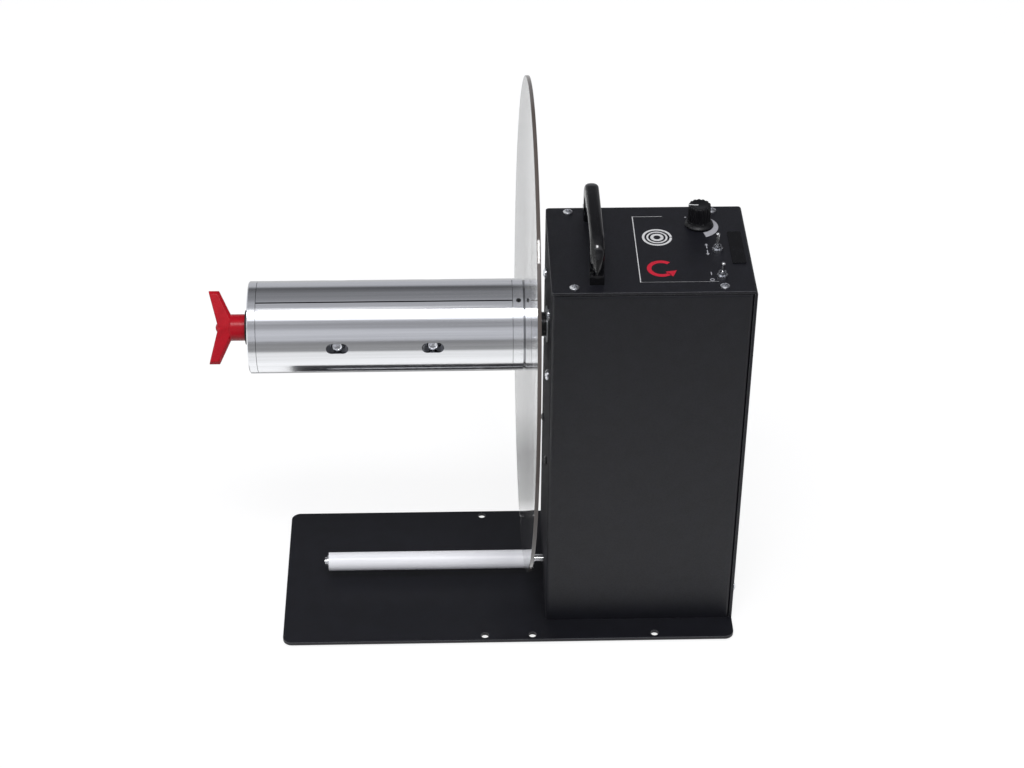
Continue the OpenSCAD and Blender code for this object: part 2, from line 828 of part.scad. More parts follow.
// Housing
module housing_block(inset) {
  r = bend_r - inset;
  h = z_shell - z_deck - 2 * inset;
  intersection() {
    translate([x_wall + shell_l / 2, 0, z_deck + inset])
      linear_extrude(h)
        rounded_rect(shell_l - 2 * inset, box_d - 2 * inset, r);
    translate([x_wall, 0, z_deck + inset])
      rotate([90, 0, 90])
        linear_extrude(shell_l)
          arch(box_d - 2 * inset, h, r);
  }
}

// Openings left by the lips, and room for the inside of the cover's bend
module chassis_windows() {
  window_d = box_d - 2 * lip_w;
  bend_in = bend_r - cover_t;
  translate([x_side - bend_in, -box_d / 2 - cut, z_shell - bend_in])
    cube([bend_in + cut, box_d + 2 * cut, bend_in + cut]);
  translate([x_wall + lip_w, -window_d / 2, z_deck - cut])
    cube([shell_l - lip_w - sheet_t, window_d, z_shell - z_deck + 2 * cut]);
  translate([x_side - sheet_t - cut, -window_d / 2, z_deck + lip_w])
    cube([sheet_t + 2 * cut, window_d, z_shell - z_deck - 2 * lip_w]);
}

module chassis() {
  through = sheet_t + 2 * cut;
  color("#2b2c31")
    difference() {
      housing_block(0);
      housing_block(sheet_t);
      chassis_windows();
      along_x(x_wall - cut, 0, z_axis)
        cylinder(d = pilot_d + 2 * bolt_gap, h = through);
      for (p = gearbox_bolts)
        along_x(x_wall - cut, p.x, p.y)
          cylinder(d = big_screw_d + 2 * bolt_gap, h = through);
      for (p = bracket_bolts)
        along_x(x_wall - cut, p.x, p.y)
          cylinder(d = screw_d + 2 * bolt_gap, h = through);
      along_x(x_wall - cut, 0, z_roller)
        cylinder(d = axle_d + 2 * fit_gap, h = through);
      along_y(inlet_place.x, box_d / 2 - sheet_t - cut, inlet_place.y)
        cylinder(d = inlet_bush_d + 2 * bolt_gap, h = through);
      for (p = cover_bolts)
        translate([p.x, p.y, z_shell - sheet_t - cut])
          cylinder(d = screw_d + 2 * fit_gap, h = through);
      for (p = side_bolts)
        along_x(x_side - sheet_t - cut, p.x, p.y)
          cylinder(d = screw_d + 2 * fit_gap, h = through);
      for (p = base_bolts)
        translate([p.x, p.y, z_deck - cut])
          cylinder(d = screw_d + 2 * fit_gap, h = through);
    }
}

module cover_profile() {
  bend_x = x_right - bend_r;
  bend_z = z_top - bend_r;
  translate([x_wall, z_shell])
    square([bend_x - x_wall, cover_t]);
  translate([x_side, z_deck + cover_lift])
    square([cover_t, bend_z - z_deck - cover_lift]);
  intersection() {
    translate([bend_x, bend_z])
      difference() {
        circle(bend_r);
        circle(bend_r - cover_t);
      }
    translate([bend_x, bend_z])
      square(bend_r);
  }
}

module cover_plan() {
  translate([x_wall + box_w / 2, 0])
    rounded_rect(box_w, box_d, bend_r);
  translate([x_right - box_w / 2, -box_d / 2])
    square([box_w / 2, box_d]);
}

module top_cover() {
  through = cover_t + 2 * cut;
  color("#2b2c31")
    difference() {
      intersection() {
        translate([0, box_d / 2, 0])
          rotate([90, 0, 0])
            linear_extrude(box_d)
              cover_profile();
        linear_extrude(z_top)
          cover_plan();
      }
      for (p = cover_bolts)
        translate([p.x, p.y, z_shell - cut])
          cylinder(d = screw_d + 2 * bolt_gap, h = through);
      for (p = side_bolts)
        along_x(x_side - cut, p.x, p.y)
          cylinder(d = screw_d + 2 * bolt_gap, h = through);
      for (p = handle_bolts)
        translate([p.x, p.y, z_shell - cut])
          cylinder(d = big_screw_d + 2 * bolt_gap, h = through);
      for (p = toggle_places)
        translate([p.x, p.y, z_shell - cut])
          cylinder(d = toggle_bush_d + 2 * bolt_gap, h = through);
      translate([dial_place.x, dial_place.y, z_shell - cut])
        cylinder(d = pot_bush_d + 2 * bolt_gap, h = through);
    }
}

module cover_screws() {
  color("#c9cbce") {
    for (p = cover_bolts)
      translate([p.x, p.y, z_top])
        pan_screw(screw_d, cover_t + sheet_t + screw_past, screw_head_d, screw_head_h);
    for (p = side_bolts)
      along_x(x_right, p.x, p.y)
        pan_screw(screw_d, cover_t + sheet_t + screw_past, screw_head_d, screw_head_h);
  }
}

module handle_section() {
  polygon([
    [-handle_w / 2, 0],
    [handle_w / 2, 0],
    [handle_w / 2, handle_h - handle_chamfer],
    [handle_w / 2 - handle_chamfer, handle_h],
    [handle_chamfer - handle_w / 2, handle_h],
    [-handle_w / 2, handle_h - handle_chamfer]
  ]);
}

module carry_handle() {
  gap_l = handle_l - 2 * handle_foot;
  gap_h = handle_h - handle_grip;
  color("#1a1a1c")
    difference() {
      intersection() {
        translate([handle_place.x - handle_w / 2, handle_place.y, z_top])
          rotate([90, 0, 90])
            linear_extrude(handle_w)
              difference() {
                arch(handle_l, handle_h, handle_r);
                arch(gap_l, gap_h, handle_r - handle_grip);
              }
        translate([handle_place.x, handle_place.y + handle_l / 2, z_top])
          rotate([90, 0, 0])
            linear_extrude(handle_l)
              handle_section();
      }
      for (p = handle_bolts)
        translate([p.x, p.y, z_top - cut])
          cylinder(d = big_screw_d + 2 * fit_gap, h = handle_screw_depth + screw_past + cut);
    }
}

module handle_screws() {
  color("#c9cbce")
    for (p = handle_bolts)
      translate([p.x, p.y, z_shell])
        mirror([0, 0, 1])
          pan_screw(big_screw_d, cover_t + handle_screw_depth, big_head_d, big_head_h);
}

module badge_plate() {
  color("#141416")
    translate([x_right - badge_edge, 0, z_top])
      linear_extrude(badge_t)
        rounded_rect(badge_w, badge_l, badge_r);
}

// Gearbox and motor
module gearbox_case() {
  cavity_w = 2 * (gb_half_w - gb_wall);
  cavity_z = gb_bottom + gb_wall;
  color("#8d9095")
    difference() {
      union() {
        difference() {
          translate([gb_x0, -gb_half_w, gb_bottom])
            cube([gb_x1 - gb_x0, 2 * gb_half_w, z_axis + gb_up - gb_bottom]);
          translate([gb_x0 + gb_front_t, -cavity_w / 2, cavity_z])
            cube([gb_cavity_l + cut, cavity_w, z_axis + gb_up - gb_wall - cavity_z]);
        }
        for (p = lid_bolts)
          along_x(gb_x0 + gb_front_t - cut, p.x, p.y)
            cylinder(d = lid_boss_d, h = gb_cavity_l + cut);
        along_x(x_wall - pilot_proud, 0, z_axis)
          cylinder(d = pilot_d, h = sheet_t + pilot_proud + cut);
      }
      along_x(x_wall - pilot_proud - cut, 0, z_axis)
        cylinder(d = spindle_d + 2 * move_gap, h = gb_front_t + 2 * sheet_t + 2 * cut);
      along_x(gb_x0 + gb_front_t - bearing_w1, 0, z_axis)
        cylinder(d = bearing_d1 + 2 * fit_gap, h = bearing_w1 + cut);
      along_x(gb_x0 + gb_front_t - bush_l, 0, z_lay)
        cylinder(d = bush_d + 2 * fit_gap, h = bush_l + cut);
      for (p = gearbox_bolts)
        along_x(gb_x0 - cut, p.x, p.y)
          cylinder(d = big_screw_d + 2 * fit_gap, h = gb_screw_depth + 2 * cut);
      for (p = lid_bolts)
        along_x(gb_x1 - lid_screw_depth - screw_past, p.x, p.y)
          cylinder(d = screw_d + 2 * fit_gap, h = lid_screw_depth + screw_past + cut);
    }
}

module gearbox_lid() {
  color("#9a9da1")
    difference() {
      translate([gb_x1, -gb_half_w, gb_bottom])
        cube([gb_lid_t, 2 * gb_half_w, z_axis + gb_up - gb_bottom]);
      along_x(gb_x1 - cut, 0, z_axis)
        cylinder(d = bearing_d2 + 2 * fit_gap, h = bearing_w2 + cut);
      along_x(gb_x1 - cut, 0, z_lay)
        cylinder(d = bush_d + 2 * fit_gap, h = bush_l + cut);
      along_x(gb_x1 - cut, 0, z_motor)
        cylinder(d = gear_m2 * (gear_n4 + 2) + 2 * pinion_gap, h = gb_lid_t + 2 * cut);
      for (p = lid_bolts)
        along_x(gb_x1 - cut, p.x, p.y)
          cylinder(d = screw_d + 2 * bolt_gap, h = gb_lid_t + 2 * cut);
      for (p = motor_bolts)
        along_x(gb_x1, p.x, p.y)
          mirror([0, 0, 1])
            flush_hole(screw_d, gb_lid_t + cut, screw_head_d, bolt_gap);
    }
}

module gearbox_screws() {
  color("#c9cbce")
    for (p = gearbox_bolts)
      along_x(x_wall, p.x, p.y)
        mirror([0, 0, 1])
          pan_screw(big_screw_d, sheet_t + gb_screw_depth, big_head_d, big_head_h);
}

module gearmotor_screws() {
  color("#b8babd") {
    for (p = lid_bolts)
      along_x(gb_x2, p.x, p.y)
        pan_screw(screw_d, gb_lid_t + lid_screw_depth, screw_head_d, screw_head_h);
    for (p = motor_bolts)
      along_x(gb_x1, p.x, p.y)
        mirror([0, 0, 1])
          flush_screw(screw_d, gb_lid_t + can_t, screw_head_d);
  }
}

// Ball bearings: the balls run in grooves cut in both races
function race_mid(r_out, r_in) = (r_out + r_in) / 2;
function ball_r(r_out, r_in) = (r_out - r_in - 2 * race_t) / 2 + race_t / 3;

module ball_track(r_out, r_in, w) {
  translate([0, 0, w / 2])
    rotate_extrude()
      translate([race_mid(r_out, r_in), 0])
        circle(ball_r(r_out, r_in) + run_gap);
}

module outer_race(r_out, r_in, w) {
  difference() {
    tube(r_out, r_out - race_t, w);
    ball_track(r_out, r_in, w);
  }
}

module inner_race(r_out, r_in, w) {
  difference() {
    translate([0, 0, move_gap])
      tube(r_in + race_t, r_in + fit_gap, w - 2 * move_gap);
    ball_track(r_out, r_in, w);
  }
}

module front_bearing_place() {
  along_x(gb_x0 + gb_front_t - bearing_w1, 0, z_axis)
    children();
}

module rear_bearing_place() {
  along_x(gb_x1, 0, z_axis)
    children();
}

module bearing_outer_races() {
  color("#c4c7ca") {
    front_bearing_place()
      outer_race(bearing_d1 / 2, spindle_d / 2, bearing_w1);
    rear_bearing_place()
      outer_race(bearing_d2 / 2, tail_d / 2, bearing_w2);
  }
}

module bearing_inner_races() {
  color("#c4c7ca") {
    front_bearing_place()
      inner_race(bearing_d1 / 2, spindle_d / 2, bearing_w1);
    rear_bearing_place()
      inner_race(bearing_d2 / 2, tail_d / 2, bearing_w2);
  }
}

module ball_ring(r_out, r_in, w) {
  for (i = [0 : ball_count - 1])
    rotate(360 * i / ball_count)
      translate([race_mid(r_out, r_in), 0, w / 2])
        sphere(ball_r(r_out, r_in));
}

module bearing_balls() {
  color("#dfe1e3") {
    front_bearing_place()
      ball_ring(bearing_d1 / 2, spindle_d / 2, bearing_w1);
    rear_bearing_place()
      ball_ring(bearing_d2 / 2, tail_d / 2, bearing_w2);
  }
}

module layshaft_bushes() {
  color("#b08d4a")
    for (x = [gb_x0 + gb_front_t - bush_l, gb_x1])
      along_x(x, 0, z_lay)
        tube(bush_d / 2, lay_d / 2 + run_gap, bush_l);
}

module output_gear() {
  color("#a3a6aa")
    along_x(gear_x1, 0, z_axis)
      gear(gear_n1, gear_m1, gear_w1, spindle_d + 2 * fit_gap, 0);
}

module layshaft() {
  color("#b4b7bb") {
    along_x(gear_x1, 0, z_lay)
      gear(gear_n2, gear_m1, gear_w1, lay_d - cut, 180 + 180 / gear_n2);
    along_x(gb_x0 + gb_front_t - bush_l + cut, 0, z_lay)
      cylinder(d = lay_d, h = gb_cavity_l + 2 * bush_l - 2 * cut);
  }
}

module layshaft_gear() {
  color("#a3a6aa")
    along_x(gear_x2, 0, z_lay)
      gear(gear_n3, gear_m2, gear_w2, lay_d + 2 * fit_gap, 0);
}

module motor_pinion() {
  color("#b08d4a")
    along_x(gear_x2, 0, z_motor)
      gear(gear_n4, gear_m2, gear_w2, rotor_d + 2 * fit_gap, 180 + 180 / gear_n4);
}

module motor_can() {
  color("#5d6066")
    difference() {
      along_x(gb_x2, 0, z_motor)
        cylinder(r = can_r, h = can_l);
      along_x(gb_x2 + can_t, 0, z_motor)
        cylinder(r = can_r - can_t, h = can_l);
      along_x(gb_x2 - cut, 0, z_motor)
        cylinder(d = rotor_d + 2 * run_gap, h = can_t + 2 * cut);
      for (p = motor_bolts)
        along_x(gb_x2 - cut, p.x, p.y)
          cylinder(d = screw_d + 2 * fit_gap, h = can_t + 2 * cut);
    }
}

module motor_end_bell() {
  color("#3a3c40")
    difference() {
      along_x(bell_x, 0, z_motor)
        cylinder(r = can_r, h = bell_t);
      along_x(bell_x - cut, 0, z_motor)
        cylinder(d = rotor_d + 2 * run_gap, h = bell_t - bell_floor + cut);
    }
}

module armature() {
  color("#a06a3c") {
    along_x(rotor_front, 0, z_motor)
      cylinder(d = rotor_d, h = rotor_rear - rotor_front);
    along_x(core_x, 0, z_motor)
      cylinder(d = core_d, h = core_l);
    along_x(core_x - winding_l, 0, z_motor)
      cylinder(d = winding_d, h = core_l + 2 * winding_l);
    along_x(core_x + core_l + winding_l, 0, z_motor)
      cylinder(d = commutator_d, h = commutator_l);
  }
}

module motor_magnets() {
  magnet_out = can_r - can_t - fit_gap;
  color("#2e2f33")
    for (side = [-1, 1])
      along_x(core_x - magnet_past, 0, z_motor)
        rotate(90 * side - magnet_arc / 2)
          rotate_extrude(angle = magnet_arc)
            translate([magnet_out - magnet_t, 0])
              square([magnet_t, core_l + 2 * magnet_past]);
}

// Driver electronics
module driver_bracket() {
  shelf_z = z_deck + bracket_h - bracket_drop;
  color("#9ea1a5")
    difference() {
      union() {
        translate([gb_x0, -bracket_d / 2, shelf_z])
          cube([bracket_t, bracket_d, bracket_drop + bracket_rise]);
        translate([gb_x0, -bracket_d / 2, shelf_z])
          cube([bracket_l, bracket_d, bracket_t]);
      }
      for (p = bracket_bolts)
        along_x(gb_x0 - cut, p.x, p.y)
          cylinder(d = screw_d + 2 * fit_gap, h = bracket_t + 2 * cut);
    }
}

module driver_board() {
  shelf_z = z_deck + bracket_h - bracket_drop + bracket_t;
  board_x = gb_x0 + bracket_t + driver_border;
  board_l = bracket_l - bracket_t - 2 * driver_border;
  board_y = bracket_d - 2 * driver_border;
  top_z = shelf_z + driver_lift + board_t;
  color("#23603a") {
    translate([board_x, -board_y / 2, shelf_z + driver_lift])
      cube([board_l, board_y, board_t]);
    for (x = [pillar_inset, board_l - pillar_inset], y = [-1, 1])
      translate([board_x + x, y * (board_y / 2 - pillar_inset), shelf_z])
        cylinder(d = pillar_w, h = driver_lift);
    for (y = [-1, 1])
      translate([board_x + capacitor_d, y * capacitor_gap_y / 2, top_z])
        cylinder(d = capacitor_d, h = capacitor_h);
    translate([board_x + (board_l - sink_t) / 2, -sink_l / 2, top_z])
      cube([sink_t, sink_l, sink_h]);
    translate([board_x + board_l - driver_border - terminal_w, -terminal_l / 2, top_z])
      cube([terminal_w, terminal_l, terminal_h]);
  }
}

module bracket_screws() {
  color("#1c1c1e")
    for (p = bracket_bolts)
      along_x(x_wall, p.x, p.y)
        mirror([0, 0, 1])
          pan_screw(screw_d, sheet_t + bracket_t + screw_past, screw_head_d, screw_head_h);
}

module power_inlet() {
  wall_y = box_d / 2;
  color("#1c1c1e")
    difference() {
      union() {
        along_y(inlet_place.x, wall_y - sheet_t - inlet_body_l, inlet_place.y)
          cylinder(d = inlet_body_d, h = inlet_body_l);
        along_y(inlet_place.x, wall_y - sheet_t - cut, inlet_place.y)
          cylinder(d = inlet_bush_d, h = sheet_t + cut + panel_nut_t + bush_past);
      }
      along_y(inlet_place.x, wall_y + panel_nut_t + bush_past - inlet_depth, inlet_place.y)
        cylinder(d = inlet_socket_d, h = inlet_depth + cut);
    }
}

// Controls
module board_corners() {
  for (x = [-1, 1], y = [-1, 1])
    translate([x * (board_w / 2 - standoff_inset), y * (board_d / 2 - standoff_inset), 0])
      children();
}

module board_place(z) {
  translate([x_wall + (knob_x + toggle_x) / 2, 0, z])
    children();
}

module control_board() {
  color("#23603a")
    board_place(z_board) {
      translate([-board_w / 2, -board_d / 2, 0])
        cube([board_w, board_d, board_t]);
      translate([-socket_x - socket_w / 2, -socket_l / 2, -socket_h])
        cube([socket_w, socket_l, socket_h + board_t / 2]);
    }
}

module board_standoffs() {
  color("#c9cbce")
    board_place(z_board + board_t)
      board_corners()
        cylinder(d = pillar_w, h = board_drop - board_t, $fn = 6);
}

module torque_pot() {
  nut_room = panel_nut_t + bush_past;
  color("#8a8d91")
    translate([dial_place.x, dial_place.y, 0])
      difference() {
        union() {
          translate([0, 0, z_shell - pot_case_h])
            cylinder(d = pot_case_d, h = pot_case_h);
          translate([0, 0, z_shell - cut])
            cylinder(d = pot_bush_d, h = cover_t + nut_room + cut);
        }
        translate([0, 0, z_shell - pot_case_h + pot_floor])
          cylinder(d = pot_shaft_d + 2 * run_gap, h = pot_case_h + cover_t + nut_room);
      }
}

module pot_shaft() {
  shaft_z = z_shell - pot_case_h + pot_floor + move_gap;
  color("#c9cbce")
    translate([dial_place.x, dial_place.y, shaft_z])
      cylinder(d = pot_shaft_d, h = z_top + dial_gap + dial_h - dial_roof - shaft_z);
}

module torque_knob() {
  room_h = panel_nut_t + bush_past + 2 * move_gap;
  body_r = dial_body_d / 2;
  color("#1a1a1c")
    translate([dial_place.x, dial_place.y, z_top])
      difference() {
        union() {
          translate([0, 0, dial_gap])
            cylinder(d1 = dial_skirt_d, d2 = dial_collar_d, h = dial_skirt_h);
          difference() {
            translate([0, 0, dial_gap + dial_skirt_h])
              cylinder(r = body_r, h = dial_h - dial_skirt_h - dial_crown);
            for (i = [0 : flutes - 1])
              rotate(360 * (i + 0.5) / flutes)
                translate([body_r + flute_r / 2, 0, dial_gap + dial_skirt_h - cut])
                  cylinder(r = flute_r, h = dial_h);
          }
          translate([0, 0, dial_gap + dial_h - dial_crown])
            cylinder(r1 = body_r - flute_r, r2 = body_r - flute_r - dial_crown, h = dial_crown);
        }
        translate([0, 0, -cut])
          cylinder(d = dial_room_d, h = room_h + cut);
        cylinder(d = pot_shaft_d + 2 * fit_gap, h = dial_gap + dial_h - dial_roof);
      }
}

module toggle_bodies() {
  bore_d = toggle_bush_d - 2 * toggle_bush_t;
  body_z = z_shell - toggle_body_h;
  pin_h = body_z - z_board - board_t;
  color("#3a5fa0")
    for (p = toggle_places)
      translate([p.x, p.y, 0])
        difference() {
          union() {
            translate([-toggle_body_w / 2, -toggle_body_d / 2, body_z])
              cube([toggle_body_w, toggle_body_d, toggle_body_h]);
            translate([0, 0, z_shell - cut])
              cylinder(d = toggle_bush_d, h = cover_t + toggle_bush_h + cut);
            for (y = [-1, 0, 1])
              translate([0, y * toggle_pin_pitch, body_z + (cut - pin_h) / 2])
                cube([toggle_pin_w, toggle_pin_t, pin_h + cut], center = true);
          }
          translate([0, 0, z_shell - toggle_body_h / 2])
            cylinder(d = bore_d, h = toggle_body_h + cover_t + toggle_bush_h);
          translate([0, 0, z_pivot])
            rotate([0, 90, 0])
              cylinder(d = lever_pin_d + 2 * run_gap, h = toggle_nut_w, center = true);
        }
}

module toggle_lever(place, tilt) {
  neck_r = lever_neck_d / 2;
  tip_r = lever_tip_d / 2;
  tip_z = lever_l - tip_r;
  color("#d5d7da")
    translate([place.x, place.y, z_pivot])
      rotate([-tilt, 0, 0]) {
        rotate_extrude()
          polygon([[0, 0], [neck_r, 0], [neck_r, lever_neck_h], [tip_r, tip_z], [0, tip_z]]);
        translate([0, 0, tip_z])
          sphere(tip_r);
        sphere(lever_ball_r);
        rotate([0, 90, 0])
          cylinder(d = lever_pin_d, h = lever_pin_l, center = true);
      }
}

module direction_toggle() {
  toggle_lever(toggle_places[0], lever_tilt);
}

module power_toggle() {
  toggle_lever(toggle_places[1], -lever_tilt);
}

module panel_nuts() {
  color("#c9cbce") {
    for (p = toggle_places)
      translate([p.x, p.y, z_top])
        hex_nut(toggle_nut_w, panel_nut_t, toggle_bush_d + 2 * fit_gap);
    translate([dial_place.x, dial_place.y, z_top])
      hex_nut(pot_nut_w, panel_nut_t, pot_bush_d + 2 * fit_gap);
    along_y(inlet_place.x, box_d / 2, inlet_place.y)
      hex_nut(inlet_nut_w, panel_nut_t, inlet_bush_d + 2 * fit_gap);
  }
}

// Guide roller
module roller_axle() {
  x0 = roller_x0 - axle_tail;
  color("#c9cbce")
    along_x(x0, 0, z_roller)
      cylinder(d = axle_d, h = gb_x0 + axle_thread - x0);
}

module axle_hardware() {
  color("#b8babd") {
    along_x(roller_x0 - move_gap - clip_t, 0, z_roller)
      tube(clip_d / 2, axle_d / 2 + fit_gap, clip_t);
    along_x(roller_x1 + move_gap, 0, z_roller)
      tube(clip_d / 2, axle_d / 2 + fit_gap, clip_t);
    along_x(gb_x0, 0, z_roller)
      hex_nut(axle_nut_w, axle_nut_t, axle_d + 2 * fit_gap);
  }
}

module guide_roller() {
  color("#eceef0")
    along_x(roller_x0, 0, z_roller)
      tube(roller_d / 2, axle_d / 2 + run_gap, roller_l);
}

// Spindle and disc
module spindle_shaft() {
  color("#c9cbce")
    chuck_axis() {
      translate([0, 0, -(gear_x1 + gear_w1 + gear_gap)])
        cylinder(d = spindle_d, h = gear_x1 + gear_w1 + gear_gap + hub_seat);
      translate([0, 0, -tail_x])
        cylinder(d = tail_d, h = tail_x);
    }
}

module clamp_ring() {
  for (a = leaf_angles)
    rotate(a)
      translate([clamp_screw_r, 0, 0])
        children();
}

module tie_ring() {
  for (a = tie_angles)
    rotate(a)
      translate([tie_r, 0, 0])
        children();
}

module set_screw_ring() {
  for (a = [slit_angles[0], slit_angles[1]])
    rotate(a)
      translate([0, 0, hub_w / 2])
        rotate([0, 90, 0])
          children();
}

// Ring groove that holds the leaves' tongues while they move out
module tongue_groove() {
  tube(leaf_in + tongue_t + leaf_travel + move_gap, leaf_in - move_gap, groove_depth + cut);
}

module chuck_hub() {
  color("#c2c5c9")
    chuck_axis()
      difference() {
        union() {
          cylinder(r = chuck_r, h = hub_w);
          translate([0, 0, -disc_t])
            cylinder(d = spigot_d, h = disc_t + cut);
        }
        translate([0, 0, -disc_t - cut])
          cylinder(d = spindle_d + 2 * fit_gap, h = hub_seat + disc_t + cut);
        translate([0, 0, -cut])
          tube(chuck_r + cut, chuck_r - hub_relief, hub_relief_w + cut);
        translate([0, 0, hub_w - groove_depth])
          tongue_groove();
        tie_ring()
          translate([0, 0, hub_w - tie_depth])
            cylinder(d = tie_d + 2 * fit_gap, h = tie_depth + cut);
        clamp_ring()
          translate([0, 0, -cut])
            cylinder(d = screw_d + 2 * fit_gap, h = clamp_screw_l - clamp_t - disc_t + 2 * cut);
        set_screw_ring()
          cylinder(d = set_screw_d + 2 * fit_gap, h = chuck_r + cut);
      }
}

module hub_set_screws() {
  top = chuck_r - set_screw_sink;
  color("#3a3c40")
    chuck_axis()
      set_screw_ring()
        difference() {
          translate([0, 0, spindle_d / 2 + fit_gap])
            cylinder(d = set_screw_d, h = top - spindle_d / 2 - fit_gap);
          translate([0, 0, top - set_socket])
            cylinder(d = set_screw_d / 2, h = set_socket + cut, $fn = 6);
        }
}

module flange_disc() {
  color("#cfd6d8", 0.4)
    chuck_axis()
      translate([0, 0, -disc_t])
        difference() {
          cylinder(d = disc_d, h = disc_t, $fn = 180);
          translate([0, 0, -cut])
            cylinder(d = spigot_d + 2 * bolt_gap, h = disc_t + 2 * cut);
          clamp_ring()
            translate([0, 0, -cut])
              cylinder(d = screw_d + 2 * bolt_gap, h = disc_t + 2 * cut);
        }
}

module disc_clamp() {
  color("#b4b7bb")
    chuck_axis()
      translate([0, 0, -disc_t - clamp_t])
        difference() {
          cylinder(d = clamp_d, h = clamp_t);
          translate([0, 0, -cut])
            cylinder(d = spindle_d + 2 * fit_gap, h = clamp_t + 2 * cut);
          clamp_ring()
            translate([0, 0, -cut])
              cylinder(d = screw_d + 2 * bolt_gap, h = clamp_t + 2 * cut);
        }
}

module clamp_screws() {
  color("#b8babd")
    chuck_axis()
      clamp_ring()
        translate([0, 0, -disc_t - clamp_t])
          mirror([0, 0, 1])
            pan_screw(screw_d, clamp_screw_l, screw_head_d, screw_head_h);
}

// Chuck
module tie_rods() {
  color("#b4b7bb")
    chuck_axis()
      tie_ring()
        difference() {
          translate([0, 0, hub_w - tie_depth])
            cylinder(d = tie_d, h = cap_s0 - hub_w + tie_depth);
          translate([0, 0, cap_s0 - cap_screw_depth - screw_past])
            cylinder(d = screw_d + 2 * fit_gap, h = cap_screw_depth + screw_past + cut);
        }
}

module end_cap() {
  color("#c2c5c9")
    chuck_axis()
      translate([0, 0, cap_s0])
        difference() {
          union() {
            cylinder(r = chuck_r, h = cap_w - cap_bevel);
            translate([0, 0, cap_w - cap_bevel])
              cylinder(r1 = chuck_r, r2 = chuck_r - cap_bevel, h = cap_bevel);
          }
          translate([0, 0, -cut])
            cylinder(d = draw_d + 2 * run_gap, h = cap_w + 2 * cut);
          translate([0, 0, -cut])
            tongue_groove();
          tie_ring()
            translate([0, 0, cap_w])
              flush_hole(screw_d, cap_w + cut, screw_head_d, bolt_gap);
        }
}

module end_cap_screws() {
  color("#b8babd")
    chuck_axis()
      tie_ring()
        translate([0, 0, cap_s1])
          flush_screw(screw_d, cap_w + cap_screw_depth, screw_head_d);
}

function cone_at(ds) = cone_r - ds * tan(cone_angle);

module expander() {
  half = cone_l / 2;
  color("#a8abb0")
    chuck_axis()
      difference() {
        union() {
          for (s = slot_stations)
            translate([0, 0, s - half])
              cylinder(r1 = cone_at(-half), r2 = cone_at(half), h = cone_l);
          translate([0, 0, slot_rear])
            cylinder(r = expander_r, h = slot_front - slot_rear);
        }
        translate([0, 0, slot_rear - cone_l])
          cylinder(d = draw_d + 2 * run_gap, h = slot_front - slot_rear + 2 * cone_l);
        tie_ring()
          cylinder(d = tie_d + 2 * move_gap, h = leaf_s1);
        for (a = leaf_angles, s = slot_stations)
          rotate(a)
            translate([draw_d / 2 + slot_screw_web - screw_past, 0, s])
              rotate([0, 90, 0])
                cylinder(d = screw_d + 2 * fit_gap, h = chuck_r);
      }
}

module slot_screws() {
  color("#c9cbce")
    chuck_axis()
      for (a = leaf_angles, s = slot_stations)
        rotate(a)
          translate([slot_seat_r, 0, s])
            rotate([0, 90, 0])
              pan_screw(screw_d, slot_seat_r - draw_d / 2 - slot_screw_web, slot_head_d, slot_head_h);
}

module leaf_slot(s, l, w, r0, r1) {
  translate([r0, 0, s])
    rotate([0, 90, 0])
      linear_extrude(r1 - r0)
        stadium(l, w);
}

// One third of the sleeve, cut back from both slits by parallel faces
module leaf_wedge() {
  apex = leaf_slit / 2 / sin(60);
  reach = 2 * chuck_d;
  translate([0, 0, leaf_s0 - 2 * tongue_l])
    linear_extrude(leaf_l + 4 * tongue_l)
      polygon([
        [apex, 0],
        [apex + reach * cos(60), reach * sin(60)],
        [apex + reach * cos(60), -reach * sin(60)]
      ]);
}

module leaf_pad(s) {
  half = pad_l / 2;
  intersection() {
    rotate_extrude()
      polygon([
        [cone_at(-half) + pad_gap, s - half],
        [leaf_in + cut, s - half],
        [leaf_in + cut, s + half],
        [cone_at(half) + pad_gap, s + half]
      ]);
    translate([0, -pad_w / 2, s - pad_l])
      cube([chuck_d, pad_w, 2 * pad_l]);
  }
}

module chuck_leaf(angle) {
  color("#d0d3d6")
    chuck_axis()
      rotate(angle)
        difference() {
          union() {
            intersection() {
              union() {
                translate([0, 0, leaf_s0])
                  tube(chuck_r, leaf_in, leaf_l);
                translate([0, 0, leaf_s0 - tongue_l])
                  tube(leaf_in + tongue_t, leaf_in, leaf_l + 2 * tongue_l);
              }
              leaf_wedge();
            }
            for (s = slot_stations)
              leaf_pad(s);
          }
          for (s = slot_stations) {
            leaf_slot(s, slot_l, slot_w, ledge_r, chuck_r + cut);
            leaf_slot(s, slot_in_l, slot_in_w, cone_r / 2, chuck_r + cut);
          }
        }
}

module chuck_leaf_1() {
  chuck_leaf(leaf_angles[0]);
}

module chuck_leaf_2() {
  chuck_leaf(leaf_angles[1]);
}

module chuck_leaf_3() {
  chuck_leaf(leaf_angles[2]);
}

// Wing knob
module draw_screw() {
  s0 = slot_front + cone_l / 2 - draw_grip;
  color("#b4b7bb")
    chuck_axis() {
      translate([0, 0, s0])
        cylinder(d = draw_d, h = knob_s0 + knob_hub_l - knob_roof - s0);
      translate([0, 0, cap_s0 - move_gap - collar_w])
        cylinder(d = collar_d, h = collar_w);
    }
}

module knob_washer() {
  color("#18181a")
    chuck_axis()
      translate([0, 0, washer_s0])
        tube(washer_d / 2, draw_d / 2 + fit_gap, washer_t);
}

module wing_outline() {
  for (side = [-1, 1])
    polygon([
      [0, wing_mid - wing_root_w / 2],
      [side * wing_tip_r, wing_tip_s - wing_tip_w / 2],
      [side * wing_tip_r, wing_tip_s + wing_tip_w / 2],
      [0, wing_mid + wing_root_w / 2]
    ]);
}

